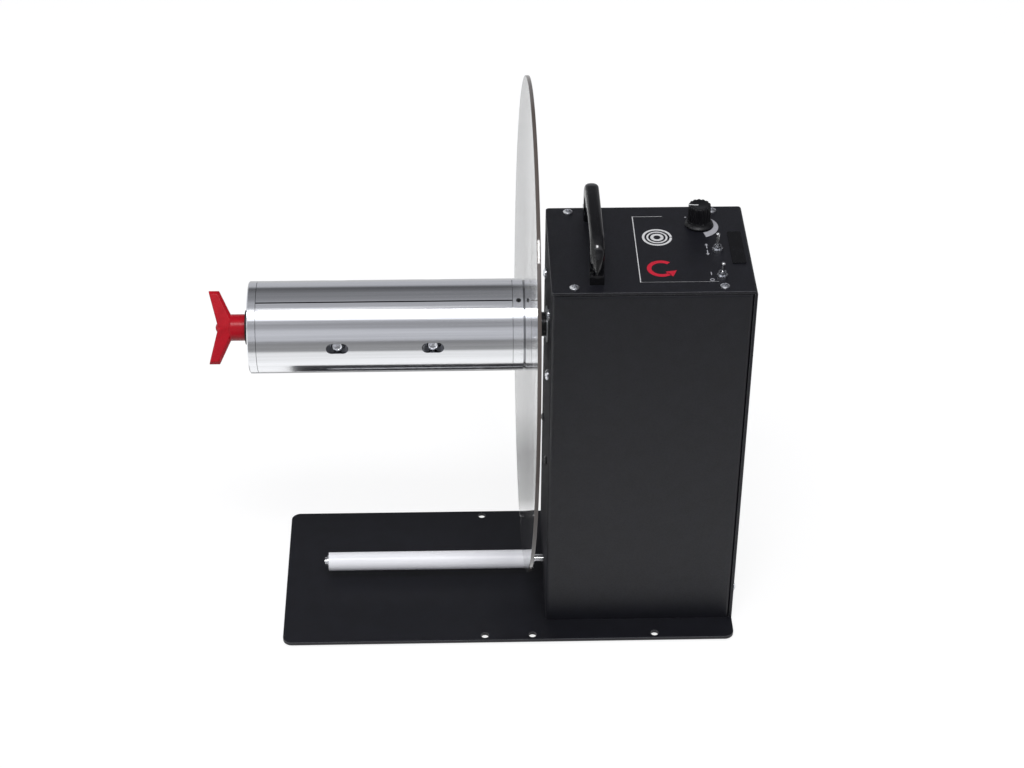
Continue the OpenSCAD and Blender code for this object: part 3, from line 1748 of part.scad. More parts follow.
module wing_knob() {
  color("#b3142a")
    chuck_axis()
      rotate(wing_phase)
        translate([0, 0, knob_s0])
          difference() {
            union() {
              cylinder(d = knob_hub_d, h = knob_hub_l);
              cylinder(d = boss_d, h = wing_mid + wing_root_w / 2 + boss_h);
              translate([0, wing_t / 2, 0])
                rotate([90, 0, 0])
                  linear_extrude(wing_t)
                    wing_outline();
            }
            translate([0, 0, -cut])
              cylinder(d = draw_d + 2 * fit_gap, h = knob_hub_l - knob_roof + cut);
          }
}

placed() base_plate();
placed() rubber_feet();
placed() base_screws();
placed() chassis();
placed() top_cover();
placed() cover_screws();
placed() carry_handle();
placed() handle_screws();
placed() badge_plate();
placed() gearbox_case();
placed() gearbox_lid();
placed() gearbox_screws();
placed() gearmotor_screws();
placed() bearing_outer_races();
placed() bearing_balls();
placed() layshaft_bushes();
placed() motor_can();
placed() motor_end_bell();
placed() motor_magnets();
placed() driver_bracket();
placed() driver_board();
placed() bracket_screws();
placed() control_board();
placed() board_standoffs();
placed() torque_pot();
placed() toggle_bodies();
placed() panel_nuts();
placed() power_inlet();
placed() roller_axle();
placed() axle_hardware();
placed() spindle_shaft();
placed() output_gear();
placed() bearing_inner_races();
placed() chuck_hub();
placed() flange_disc();
placed() disc_clamp();
placed() clamp_screws();
placed() hub_set_screws();
placed() tie_rods();
placed() end_cap();
placed() end_cap_screws();
placed() layshaft();
placed() layshaft_gear();
placed() armature();
placed() motor_pinion();
placed() wing_knob();
placed() draw_screw();
placed() knob_washer();
placed() expander();
placed() slot_screws();
placed() chuck_leaf_1();
placed() chuck_leaf_2();
placed() chuck_leaf_3();
placed() guide_roller();
placed() torque_knob();
placed() pot_shaft();
placed() direction_toggle();
placed() power_toggle();
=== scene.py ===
"""Looks of a powered label unwinder: finishes, moulded pieces, panel print, floor, light and camera."""
import json
import math

import bmesh
import bpy
import numpy as np
from bpy.props import FloatProperty, FloatVectorProperty, IntProperty, PointerProperty
from mathutils import Matrix, Vector


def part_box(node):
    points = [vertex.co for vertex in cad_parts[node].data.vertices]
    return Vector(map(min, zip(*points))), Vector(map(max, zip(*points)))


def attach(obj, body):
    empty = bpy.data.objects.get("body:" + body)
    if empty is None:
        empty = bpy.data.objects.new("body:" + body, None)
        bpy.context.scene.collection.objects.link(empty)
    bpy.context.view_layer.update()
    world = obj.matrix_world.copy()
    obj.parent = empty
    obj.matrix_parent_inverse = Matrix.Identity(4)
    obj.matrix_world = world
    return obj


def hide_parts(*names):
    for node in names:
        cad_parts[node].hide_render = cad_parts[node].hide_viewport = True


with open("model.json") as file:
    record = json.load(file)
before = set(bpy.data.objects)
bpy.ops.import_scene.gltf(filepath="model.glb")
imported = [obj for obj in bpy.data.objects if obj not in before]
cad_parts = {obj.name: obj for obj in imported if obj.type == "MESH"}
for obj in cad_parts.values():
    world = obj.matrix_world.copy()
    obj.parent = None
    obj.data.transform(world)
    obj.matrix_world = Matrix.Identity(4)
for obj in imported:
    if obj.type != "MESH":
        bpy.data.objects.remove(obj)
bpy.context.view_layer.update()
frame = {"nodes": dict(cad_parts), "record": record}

bl_info = {
    "name": "Label unwinder looks",
    "version": (1, 0, 0),
    "blender": (4, 5, 0),
    "location": "View3D > Sidebar > Unwinder",
    "description": "Finishes, moulded pieces, panel print, light and camera of a powered label unwinder",
    "category": "Object",
}

FULL_TURN = 2 * math.pi
ROUNDING_STEPS = 5


# Sizes and colours that a user would change

def number(name, description, default, **kind):
    """Property for a plain number."""
    return FloatProperty(name=name, description=description, default=default, **kind)


def length(name, description, default):
    """Property for a length in metres."""
    return number(name, description, default, min=0, precision=5, subtype="DISTANCE", unit="LENGTH")


def angle(name, description, degrees):
    """Property for an angle, given in degrees."""
    return number(name, description, math.radians(degrees), subtype="ANGLE", unit="ROTATION")


def colour(name, description, default):
    """Property for a colour in linear light."""
    return FloatVectorProperty(name=name, description=description, default=default, min=0, max=1, size=3,
                               subtype="COLOR")


class HandleSizes(bpy.types.PropertyGroup):
    """Section and corners of the carry handle; its length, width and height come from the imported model."""

    foot: length("Foot", "Length of a foot along the handle", 0.014)
    grip: length("Grip", "Thickness of the grip", 0.0085)
    outer_r: length("Outer corner", "Radius of the outer corners", 0.018)
    inner_r: length("Inner corner", "Radius of the inner corners", 0.0095)
    foot_h: length("Foot height", "Height of the square foot", 0.0085)
    dome: length("Dome", "Height of the grip's rounded top", 0.0046)
    keel: length("Keel", "Height of the rounded outer face where it meets the foot", 0.0062)
    edge: length("Edge", "Rounding of the handle's edges", 0.0006)


class WingKnobSizes(bpy.types.PropertyGroup):
    """Shape of the wing knob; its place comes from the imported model."""

    hub_d: length("Hub", "Diameter of the hub", 0.0218)
    hub_l: length("Hub length", "Length of the hub", 0.0124)
    bore_d: length("Bore", "Diameter of the hole for the draw screw", 0.0122)
    roof: length("Roof", "Thickness above the draw screw's hole", 0.002)
    wing_t: length("Root thickness", "Thickness of a wing at the axis", 0.0108)
    tip_t: length("Tip thickness", "Thickness of a wing at its tip", 0.0072)
    root_w: length("Root width", "Width of a wing at its root", 0.0151)
    tip_w: length("Tip width", "Width of a wing at its tip", 0.0086)
    sink: length("Sink", "How far the wings' roots are sunk in the hub", 0.0052)
    sweep: length("Sweep", "How far the wing tips are swept forward", 0.011)
    reach: length("Reach", "Distance from the axis to a wing's end", 0.030)
    turn: angle("Turn", "Turn of the wings from straight up, towards the rear", 35)
    bevel: length("Bevel", "Bevel along the wings on the chuck's side and at their ends", 0.0024)
    outer_bevel: length("Outer bevel", "Bevel along the wings' outer side", 0.0009)
    dome_r: length("Dome", "Radius of the dome between the wings", 0.0054)
    dome_h: length("Dome height", "Height of the dome above the wings' roots", 0.0024)
    blend: length("Blend", "Grid on which the wings and hub are blended", 0.0003)


class DialSizes(bpy.types.PropertyGroup):
    """Shape of the torque dial; its place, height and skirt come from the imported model."""

    body_d: length("Body", "Diameter of the fluted body at its foot", 0.0184)
    top_d: length("Top", "Diameter of the fluted body at its top", 0.0182)
    skirt_h: length("Skirt", "Height of the flared skirt", 0.0042)
    rim_h: length("Rim", "Height of the skirt's straight rim", 0.0012)
    flutes: IntProperty(name="Flutes", description="Flutes round the body", default=14, min=6, max=24)
    flute_w: length("Flute", "Width of a flute", 0.0024)
    flute_depth: length("Flute depth", "Depth of a flute", 0.0008)
    crown: length("Crown", "Bevel round the top", 0.0010)
    pointer_w: length("Pointer", "Width of the pointer line", 0.0011)
    shaft_d: length("Shaft", "Diameter of the shaft's hole", 0.0061)
    shaft_roof: length("Roof", "Thickness above the shaft's hole", 0.0035)
    room_d: length("Room", "Diameter of the room for the nut", 0.0152)
    room_h: length("Room height", "Height of the room for the nut", 0.0029)


class DiscSizes(bpy.types.PropertyGroup):
    """Edge and slight warp of the clear disc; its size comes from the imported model."""

    edge_r: length("Edge", "Rounding of the polished rim", 0.0005)
    # The rim's darker band is partly the acrylic's own tint and partly a painted reflection of dark
    # surroundings
    edge_w: length("Edge band", "Width of the rim's darker band", 0.0007)
    bore_d: length("Bore", "Diameter of the hole for the hub", 0.0364)
    flat_d: length("Flat", "Diameter that the hub keeps flat", 0.084)
    dish: length("Dish", "How far the sheet's rim is dished towards the wall", 0.0012)
    lean: length("Lean", "How much further the rim goes where it leans towards the wall", 0.0034)
    lean_turn: angle("Lean turn", "Where the rim leans to the wall, from the top towards the front", 28)


class PrintSizes(bpy.types.PropertyGroup):
    """Places of the print on the cover, counted from the spindle wall and the spindle plane."""

    ink_t: length("Ink", "Thickness of the ink", 0.00006)
    line_w: length("Line", "Width of the frame's long line", 0.0007)
    rear_w: length("Rear line width", "Width of the frame's rear line", 0.0003)
    front_w: length("Front line width", "Width of the frame's front line", 0.00012)
    frame_x: length("Frame", "Distance of the frame's long line from the wall", 0.0706)
    frame_y: length("Frame half", "Half length of the frame's long line", 0.0482)
    frame_top: length("Rear line", "Length of the frame's rear line", 0.0245)
    frame_low: length("Front line", "Length of the frame's front line", 0.0620)
    scale_in: length("Scale inside", "Inner radius of the torque scale", 0.0122)
    scale_out: length("Scale outside", "Outer radius of the torque scale's thick end", 0.0192)
    scale_thin: length("Scale start", "Width of the torque scale's thin end", 0.0012)
    scale_from: angle("Scale start", "Direction of the scale's thin end", 42)
    scale_to: angle("Scale end", "Direction of the scale's thick end", -77)
    roll_x: length("Roll mark", "Distance of the roll mark from the wall", 0.0885)
    roll_y: length("Roll height", "Distance of the roll mark from the spindle plane", 0.0165)
    roll_r: length("Roll radius", "Radius of the roll mark", 0.0122)
    spin_drop: length("Spin mark", "Distance of the spin mark from the roll mark", 0.0455)
    spin_w: length("Spin line", "Width of the spin mark's line", 0.0036)


class FinishColours(bpy.types.PropertyGroup):
    """Colours of the finishes."""

    powder: colour("Powder coat", "Base plate, chassis and cover", (0.0050, 0.0052, 0.0085))
    # Painted highlight: a lighter colour for the coat's edges, standing in for light caught there
    edge_highlight: colour("Worn coat", "Edges of the powder-coated sheets", (0.10, 0.10, 0.11))
    black: colour("Black plastic", "Handle, dial and inlet", (0.0045, 0.0045, 0.0055))
    red: colour("Red plastic", "Wing knob", (0.46, 0.004, 0.014))
    white: colour("White plastic", "Guide roller", (0.95, 0.95, 0.98))
    acrylic: colour("Clear acrylic", "Disc", (0.92, 0.93, 0.93))
    # Partly the acrylic's own edge tint, partly a painted reflection of dark surroundings
    rim: colour("Acrylic rim", "Edge of the disc", (0.11, 0.092, 0.082))
    aluminium: colour("Turned aluminium", "Chuck", (0.80, 0.81, 0.83))
    # Painted shade: the colour that darkens the chuck's slots and grooves as if they lay in shadow
    cut: colour("Cut aluminium", "Slots and grooves of the chuck", (0.30, 0.305, 0.32))
    cast: colour("Cast aluminium", "Gearbox", (0.48, 0.49, 0.51))
    steel: colour("Bright steel", "Axles and levers", (0.62, 0.62, 0.63))
    zinc: colour("Zinc", "Screws and nuts", (0.66, 0.67, 0.70))
    oxide: colour("Black oxide", "Spindle and black screws", (0.020, 0.020, 0.022))
    rubber: colour("Rubber", "Feet", (0.014, 0.014, 0.015))
    bronze: colour("Bronze", "Bushes", (0.50, 0.33, 0.12))
    copper: colour("Windings", "Armature", (0.45, 0.20, 0.08))
    magnet: colour("Magnet", "Magnets of the motor", (0.05, 0.05, 0.055))
    board: colour("Board", "Circuit boards", (0.02, 0.14, 0.06))
    switch: colour("Switch body", "Bodies of the toggles", (0.03, 0.10, 0.30))
    ink_white: colour("White ink", "Panel print", (0.72, 0.72, 0.72))
    ink_grey: colour("Grey ink", "Torque scale", (0.42, 0.42, 0.45))
    ink_red: colour("Red ink", "Spin mark", (0.60, 0.006, 0.030))


class StageSettings(bpy.types.PropertyGroup):
    """Camera, floor and light."""

    eye: FloatVectorProperty(name="Eye", description="Place of the camera", size=3, subtype="TRANSLATION",
                             unit="LENGTH", default=(-0.02225, -1.5462, 1.3622))
    yaw: angle("Yaw", "Turn of the camera to the left", -1.98)
    pitch: angle("Pitch", "Tilt of the camera below level", 36.24)
    roll: angle("Roll", "Roll of the camera", -0.48)
    focal_px: number("Focal length", "Focal length in image points", 2300.1)
    centre_px: FloatVectorProperty(name="Centre", description="Image point that the camera faces", size=2,
                                   default=(516.3, 371.4))
    image_px: FloatVectorProperty(name="Image", description="Image size in points", size=2,
                                  default=(1024, 768))
    floor_r: length("Floor", "Radius of the floor", 9.0)
    floor_glow: number("Floor glow", "Floor's own brightness to the eye", 0.86)
    floor_gloss: number("Floor gloss", "Floor's brightness in gloss, near the part", 0.95)
    floor_colour: colour("Floor colour", "Share of light that the floor sends back", (0.20, 0.20, 0.20))
    window: number("Window", "Brightness of the long light above the front", 1.6)
    room: number("Room", "Brightness of the grey room", 1.0)
    lean: number("Lean", "Share by which the room's left side is brighter", 0.6)
    lamp_turn: angle("Lamp turn", "Height of the soft lamp above the front, as seen from the part", 66)
    lamp_far: length("Lamp distance", "Distance of the soft lamp from the part", 2.5)
    lamp_w: length("Lamp width", "Width of the soft lamp", 0.9)
    lamp_d: length("Lamp depth", "Depth of the soft lamp", 0.45)
    lamp_power: number("Lamp power", "Power of the soft lamp", 28, unit="POWER")


GROUPS = {
    "handle": HandleSizes,
    "wing_knob": WingKnobSizes,
    "dial": DialSizes,
    "disc": DiscSizes,
    "panel_print": PrintSizes,
    "colours": FinishColours,
    "stage": StageSettings,
}


class UnwinderSettings(bpy.types.PropertyGroup):
    """All settings of the label unwinder."""

    __annotations__ = {name: PointerProperty(type=group) for name, group in GROUPS.items()}


def settings():
    """The scene's settings of the label unwinder."""
    return bpy.context.scene.unwinder


# Surfaces

def tube(rings, caps=True):
    """Faces through rings[i, j]: a ring closes on itself, neighbouring rings are joined by quads, and with
    caps the first and the last ring are filled."""
    count, points = rings.shape[:2]
    row, col = np.meshgrid(np.arange(count - 1), np.arange(points), indexing="ij")
    after = (col + 1) % points
    near = row * points
    far = near + points
    faces = np.stack([near + col, near + after, far + after, far + col], axis=-1).reshape(-1, 4).tolist()
    if caps:
        order = np.arange(count * points).reshape(count, points)
        faces += [order[0, ::-1].tolist(), order[-1].tolist()]
    return rings.reshape(-1, 3), faces


def turned(profile, place, turns, dip=0):
    """Surface of revolution: each (radius, height) of the profile goes round a circle of turns points, less
    its dip there, and place maps across, along and height to the frame. A radius of 0 is a pole."""
    profile = np.asarray(profile, dtype=float)
    turn = np.linspace(0, FULL_TURN, turns, endpoint=False)
    radius = profile[:, :1] - dip
    height = profile[:, 1:] + 0 * turn
    return tube(place(radius * np.cos(turn), radius * np.sin(turn), height), caps=False)


def upright(x, y, z):
    """Place on an upright axis through (x, y), with heights counted from z."""
    return lambda across, along, height: np.stack([x + across, y + along, z + height], axis=-1)


def on_spindle(x, z):
    """Place on the spindle's axis at height z, with heights counted from x towards the chuck's tip."""
    return lambda across, along, height: np.stack([x - height, along, z + across], axis=-1)


def arc(centre, radius, start, stop, steps=ROUNDING_STEPS):
    """Points (u, v) of a circle's arc between two directions in degrees."""
    turn = np.radians(np.linspace(start, stop, steps))
    return np.stack([centre[0] + radius * np.cos(turn), centre[1] + radius * np.sin(turn)], axis=-1)


def mirrored_stations(half):
    """A row of stations followed by its mirror image along Y, so that an arch comes down again."""
    return np.concatenate([half, half[::-1] * [-1, 1]])


def piece(name, parts, body, material, replaces=(), crease=35):
    """Object from the (points, faces) of its parts: doubles are merged, normals point outwards, edges
    sharper than the crease angle stay sharp, and it rides on a body."""
    mesh = bpy.data.meshes.new(name)
    bm = bmesh.new()
    for points, faces in parts:
        part = bpy.data.meshes.new(name)
        part.from_pydata(points, [], faces)
        bm.from_mesh(part)
        bpy.data.meshes.remove(part)
    bmesh.ops.remove_doubles(bm, verts=bm.verts, dist=1e-7)
    bmesh.ops.dissolve_degenerate(bm, edges=bm.edges, dist=1e-8)
    bmesh.ops.recalc_face_normals(bm, faces=bm.faces)
    bm.to_mesh(mesh)
    bm.free()
    mesh.shade_smooth()
    mesh.set_sharp_from_angle(angle=math.radians(crease))
    mesh.materials.append(material)
    obj = bpy.data.objects.new(name, mesh)
    bpy.context.scene.collection.objects.link(obj)
    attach(obj, body)
    if replaces:
        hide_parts(*replaces)
    return obj


# Places that several pieces share

def middle(node, axis):
    """Middle of a node's box along an axis."""
    low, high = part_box(node)
    return (low[axis] + high[axis]) / 2


def plan_middle(node):
    """Middle of a node's box, as seen from above."""
    return np.array([middle(node, 0), middle(node, 1)])


def cover_top():
    """Height of the cover's top face."""
    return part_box("top_cover")[1].z


# Finishes

class Nodes:
    """The shader nodes of a material or a world."""

    def __init__(self, owner):
        owner.use_nodes = True
        self.tree = owner.node_tree

    def add(self, kind, operation=None, **inputs):
        """A new node with its operation and inputs set."""
        node = self.tree.nodes.new(f"ShaderNode{kind}")
        if operation:
            node.operation = operation
        for socket, value in inputs.items():
            node.inputs[socket.replace("_", " ")].default_value = value
        return node

    def join(self, output, socket):
        """A link from an output to a socket."""
        self.tree.links.new(output, socket)

    def math(self, operation, first, second):
        """Result of a Math node on an output and on another output or a number."""
        node = self.add("Math", operation)
        self.join(first, node.inputs[0])
        if isinstance(second, bpy.types.NodeSocket):
            self.join(second, node.inputs[1])
        else:
            node.inputs[1].default_value = second
        return node.outputs["Value"]

    def span(self, value, low, high, first=0.0, second=1.0):
        """A value that goes from first to second as an output goes from low to high."""
        step = self.add("MapRange", From_Min=low, From_Max=high, To_Min=first, To_Max=second)
        self.join(value, step.inputs["Value"])
        return step.outputs["Result"]

    def split(self, system):
        """X, Y and Z in a system of texture coordinates."""
        parts = self.add("SeparateXYZ")
        self.join(self.add("TexCoord").outputs[system], parts.inputs["Vector"])
        return parts.outputs

    def bands(self, place, stops, tint):
        """Colour along a ramp through stops of place and brightness, which the tint colours."""
        ramp = self.add("ValToRGB")
        elements = ramp.color_ramp.elements
        for i, (position, level) in enumerate(stops):
            stop = elements[i] if i < 2 else elements.new(position)
            stop.position = position
            stop.color = (*(level * share for share in tint), 1)
        self.join(place, ramp.inputs["Fac"])
        return ramp.outputs["Color"]

    def seen(self):
        """1 on rays from the eye, straight or through glass, and 0 on all others."""
        path = self.add("LightPath").outputs
        return self.math("MAXIMUM", path["Is Camera Ray"], path["Is Transmission Ray"])


class Finish(Nodes):
    """A procedural material in a tone of the colours: one Principled shader whose patterns read the piece's
    Object coordinates."""

    def __init__(self, name, tone, roughness, **constants):
        self.material = bpy.data.materials.new(name)
        super().__init__(self.material)
        base = getattr(settings().colours, tone)
        self.base = np.array(base)
        self.shader = self.tree.nodes["Principled BSDF"]
        self.shader.inputs["Base Color"].default_value = (*base, 1)
        self.shader.inputs["Roughness"].default_value = roughness
        for socket, value in constants.items():
            self.shader.inputs[socket.replace("_", " ")].default_value = value
        self.place = self.add("TexCoord").outputs["Object"]
        self.relief_end = None

    def drawn(self, scale, shift=(0, 0, 0)):
        """Object coordinates scaled, then shifted."""
        mapping = self.add("Mapping", Scale=scale, Location=shift)
        self.join(self.place, mapping.inputs["Vector"])
        return mapping.outputs["Vector"]

    def noise(self, size, stretch=(1, 1, 1), detail=3.0):
        """Noise with lumps about size across, drawn out along each axis by its stretch."""
        lumps = self.add("TexNoise", Scale=1 / size, Detail=detail)
        self.join(self.drawn([1 / s for s in stretch]), lumps.inputs["Vector"])
        return lumps.outputs["Fac"]

    def cells(self, size, stretch=(1, 1, 1)):
        """Random grains about size across, drawn out along each axis by its stretch."""
        grains = self.add("TexVoronoi", Scale=1 / size)
        self.join(self.drawn([1 / s for s in stretch]), grains.inputs["Vector"])
        return grains.outputs["Color"]

    def reach(self, scale, shift, low, high):
        """0 where the scaled and shifted place is nearer to its origin than low, and 1 beyond high."""
        distance = self.add("VectorMath", "LENGTH")
        self.join(self.drawn(scale, shift), distance.inputs[0])
        return self.span(distance.outputs["Value"], low, high)

    def flat(self, radius, edge_cos=0.86, face_cos=0.985):
        """1 on flat faces and 0 at edges, by the cosine between the face's own normal and one that is
        rounded over the radius."""
        rounded = self.add("Bevel", Radius=radius)
        near = self.add("VectorMath", "DOT_PRODUCT")
        self.join(rounded.outputs["Normal"], near.inputs[0])
        self.join(self.add("NewGeometry").outputs["True Normal"], near.inputs[1])
        return self.span(near.outputs["Value"], edge_cos, face_cos)

    def blend(self, pattern, first, second, low=0.0, high=1.0):
        """Base colour between two colours as the pattern goes from low to high."""
        ramp = self.add("ValToRGB")
        for stop, position, value in zip(ramp.color_ramp.elements, (low, high), (first, second)):
            stop.position = position
            stop.color = (*np.clip(value, 0, 1), 1)
        self.join(pattern, ramp.inputs["Fac"])
        self.join(ramp.outputs["Color"], self.shader.inputs["Base Color"])

    def shade(self, pattern, darker, lighter, low=0.35, high=0.65):
        """Base colour between two shares of the base as the pattern goes from low to high."""
        self.blend(pattern, self.base * darker, self.base * lighter, low, high)

    def vary(self, socket, pattern, first, second, low=0.0, high=1.0):
        """A socket between two values as the pattern goes from low to high."""
        self.join(self.span(pattern, low, high, first, second), self.shader.inputs[socket])

    def polish(self, pattern, smooth, rough, low=0.35, high=0.65):
        """Roughness between two values as the pattern goes from low to high."""
        self.vary("Roughness", pattern, smooth, rough, low, high)

    def give_way(self, kept, value, socket="Base Color"):
        """A socket's pattern that gives way to another value where kept is 0."""
        mix = self.add("MixRGB", Color1=(*value, 1))
        self.join(kept, mix.inputs["Fac"])
        self.join(self.shader.inputs[socket].links[0].from_socket, mix.inputs["Color2"])
        self.join(mix.outputs["Color"], self.shader.inputs[socket])

    def ease(self, radius):
        """Normals rounded along the edges, as if each edge had this radius."""
        rounded = self.add("Bevel", Radius=radius)
        self.relief_end = rounded.outputs["Normal"]
        self.join(self.relief_end, self.shader.inputs["Normal"])

    def relief(self, pattern, depth):
        """Bump of the given depth, on top of earlier ones."""
        bump = self.add("Bump", Distance=depth, Strength=1.0)
        self.join(pattern, bump.inputs["Height"])
        if self.relief_end:
            self.join(self.relief_end, bump.inputs["Normal"])
        self.relief_end = bump.outputs["Normal"]
        self.join(self.relief_end, self.shader.inputs["Normal"])

    def grained(self, size, darker, lighter, smooth=None, rough=None, depth=None, detail=4.0,
                stretch=(1, 1, 1)):
        """The material, with its shade, gloss and relief from one noise."""
        grain = self.noise(size, stretch, detail)
        self.shade(grain, darker, lighter)
        if rough:
            self.polish(grain, smooth, rough)
        if depth:
            self.relief(grain, depth)
        return self.material


def coated(name):
    """Fine textured powder coat: small melted grains, a slow change of shade, a dull gloss, eased edges
    and a painted highlight that lightens the base colour along the edges."""
    coat = Finish(name, "powder", roughness=0.5, Specular_IOR_Level=0.38)
    coat.ease(radius=0.0009)
    grain = coat.noise(size=0.0009, detail=2.0)
    coat.shade(coat.noise(size=0.012, detail=4.0), darker=0.86, lighter=1.16)
    # Painted highlight: the base colour is lightened along the edges, as if they caught light
    coat.give_way(coat.flat(radius=0.0008), settings().colours.edge_highlight)
    coat.polish(grain, smooth=0.40, rough=0.56)
    coat.relief(grain, depth=0.00003)
    return coat


def powder_coat(name):
    """Powder coat that is the same all over."""
    return coated(name).material


def wall_coat(name):
    """Powder coat with hardly any gloss on the spindle wall, so that the wall stays dark at a flat angle."""
    coat = coated(name)
    wall_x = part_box("chassis")[0].x
    dull = (0.8, 0.8, 0.8)
    coat.give_way(coat.reach((1, 0, 0), (-wall_x, 0, 0), low=0.0004, high=0.0008), dull, "Roughness")
    return coat.material


def clear_acrylic(name):
    """Polished clear sheet with faint wipe marks and a duller, brownish edge: partly the acrylic's own edge
    tint and partly a painted reflection of dark surroundings.
    """
    colours = settings().colours
    sheet = Finish(name, "acrylic", roughness=0.02, IOR=1.49)
    low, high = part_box("flange_disc")
    rim_r = (high.y - low.y) / 2
    full_w = 0.0004
    # Darker, less clear band at the rim: partly the acrylic's own tint, partly a painted reflection of dark
    # surroundings
    edge = sheet.reach((0, 1, 1), (0, 0, -middle("flange_disc", 2)), low=rim_r - settings().disc.edge_w,
                       high=rim_r - full_w)
    sheet.blend(edge, colours.acrylic, colours.rim)
    sheet.vary("Transmission Weight", edge, first=0.985, second=0.12)
    sheet.polish(sheet.noise(size=0.02, stretch=(1, 1, 6), detail=4.0), smooth=0.01, rough=0.05)
    return sheet.material


def turned_metal(name):
    """Bright drawn aluminium: streaks along the chuck and faint rings round it."""
    metal = Finish(name, "aluminium", roughness=0.14, Metallic=1.0)
    streak = metal.noise(size=0.0022, stretch=(120, 1, 1), detail=4.0)
    ring = metal.noise(size=0.0007, stretch=(1, 60, 60), detail=2.0)
    metal.shade(streak, darker=0.94, lighter=1.04)
    metal.polish(streak, smooth=0.11, rough=0.18)
    metal.relief(ring, depth=0.0000012)
    metal.relief(streak, depth=0.0000025)
    return metal


def turned_aluminium(name):
    """Drawn aluminium, bright all over."""
    return turned_metal(name).material


def cut_aluminium(name):
    """Drawn aluminium with painted shade in the slots, slits and grooves below its turned outside."""
    metal = turned_metal(name)
    axis_z = middle("spindle_shaft", 2)
    outer_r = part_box("chuck_hub")[1].z - axis_z
    deep = 0.0009
    shallow = 0.0005
    outside = metal.reach((0, 1, 1), (0, 0, -axis_z), low=outer_r - deep, high=outer_r - shallow)
    # Painted shade: the base colour is darkened below the turned outside, in the slots and grooves
    metal.give_way(outside, settings().colours.cut)
    return metal.material


def cast_aluminium(name):
    """Sand-blasted casting: grey, rough, with small pits."""
    metal = Finish(name, "cast", roughness=0.5, Metallic=1.0)
    return metal.grained(size=0.0012, darker=0.82, lighter=1.08, smooth=0.42, rough=0.62, depth=0.00004)


def bright_steel(name):
    """Ground steel: fine rings from the lathe and a few dull patches."""
    metal = Finish(name, "steel", roughness=0.2, Metallic=1.0)
    rings = metal.noise(size=0.0005, stretch=(1, 40, 40), detail=2.0)
    metal.shade(metal.noise(size=0.006), darker=0.9, lighter=1.08)
    metal.polish(rings, smooth=0.14, rough=0.26)
    metal.relief(rings, depth=0.000002)
    return metal.material


def zinc_plate(name):
    """Zinc plating: pale, slightly cloudy, with a satin gloss."""
    metal = Finish(name, "zinc", roughness=0.24, Metallic=1.0)
    return metal.grained(size=0.0016, darker=0.82, lighter=1.1, smooth=0.18, rough=0.32)


def black_oxide(name):
    """Black oxide on steel: dark, with slightly worn lighter patches."""
    metal = Finish(name, "oxide", roughness=0.4, Metallic=0.6)
    return metal.grained(size=0.0015, darker=0.8, lighter=1.6, smooth=0.32, rough=0.5)


def red_plastic(name):
    """Moulded red plastic: semi-gloss with a fine skin."""
    plastic = Finish(name, "red", roughness=0.36, Specular_IOR_Level=0.25)
    plastic.shade(plastic.noise(size=0.008), darker=0.92, lighter=1.06)
    skin = plastic.noise(size=0.0006, detail=2.0)
    plastic.polish(skin, smooth=0.24, rough=0.34)
    plastic.relief(skin, depth=0.000012)
    return plastic.material


def black_plastic(name):
    """Moulded black plastic: glossy with a fine skin."""
    plastic = Finish(name, "black", roughness=0.22)
    plastic.shade(plastic.noise(size=0.010), darker=0.85, lighter=1.2)
    skin = plastic.noise(size=0.0008, detail=2.0)
    plastic.polish(skin, smooth=0.08, rough=0.15)
    plastic.relief(skin, depth=0.000008)
    return plastic.material


def matt_plastic(name):
    """Moulded black plastic with a fine matt texture."""
    plastic = Finish(name, "black", roughness=0.4, Specular_IOR_Level=0.3)
    return plastic.grained(size=0.0006, darker=0.8, lighter=1.25, smooth=0.34, rough=0.48, depth=0.00001,
                           detail=2.0)


def white_plastic(name):
    """Smooth white plastic tube with faint lengthwise drawing lines."""
    plastic = Finish(name, "white", roughness=0.38)
    return plastic.grained(size=0.0018, darker=0.96, lighter=1.03, smooth=0.32, rough=0.45, detail=3.0,
                           stretch=(60, 1, 1))


def rubber(name):
    """Matt black rubber with a dusty grain."""
    skin = Finish(name, "rubber", roughness=0.75)
    return skin.grained(size=0.0015, darker=0.75, lighter=1.5, depth=0.00004, detail=5.0)


def bronze(name):
    """Sintered bronze: warm, with pores."""
    metal = Finish(name, "bronze", roughness=0.38, Metallic=1.0)
    return metal.grained(size=0.0008, darker=0.7, lighter=1.1, smooth=0.3, rough=0.5)


def winding_copper(name):
    """Lacquered windings: bands of wire round the core."""
    wire = Finish(name, "copper", roughness=0.32, Metallic=0.8)
    return wire.grained(size=0.0009, darker=0.55, lighter=1.2, depth=0.00012, detail=2.0, stretch=(14, 1, 1))


def magnet_grey(name):
    """Sintered magnet: dark grey grains."""
    magnet = Finish(name, "magnet", roughness=0.5, Metallic=0.4)
    return magnet.grained(size=0.0009, darker=0.7, lighter=1.5, smooth=0.42, rough=0.6)


def board_green(name):
    """Circuit board: green mask with slightly paler runs over the tracks."""
    mask = Finish(name, "board", roughness=0.34)
    mask.shade(mask.cells(size=0.004, stretch=(1, 3, 1)), darker=0.75, lighter=1.35, low=0.4, high=0.6)
    mask.polish(mask.noise(size=0.002), smooth=0.26, rough=0.42)
    return mask.material


def switch_blue(name):
    """Blue moulded switch body with a plated bushing: the part above the cover's underside is metal."""
    plastic = Finish(name, "switch", roughness=0.5)
    cover_t = 0.0026
    blur = 0.0001
    underside = cover_top() - cover_t
    bushing = plastic.reach((0, 0, 1), (0, 0, 0), low=underside, high=underside + blur)
    plastic.blend(bushing, plastic.base, settings().colours.zinc)
    plastic.vary("Metallic", bushing, first=0.0, second=1.0)
    plastic.vary("Roughness", bushing, first=0.5, second=0.22)
    plastic.relief(plastic.noise(size=0.0008), depth=0.000006)
    return plastic.material


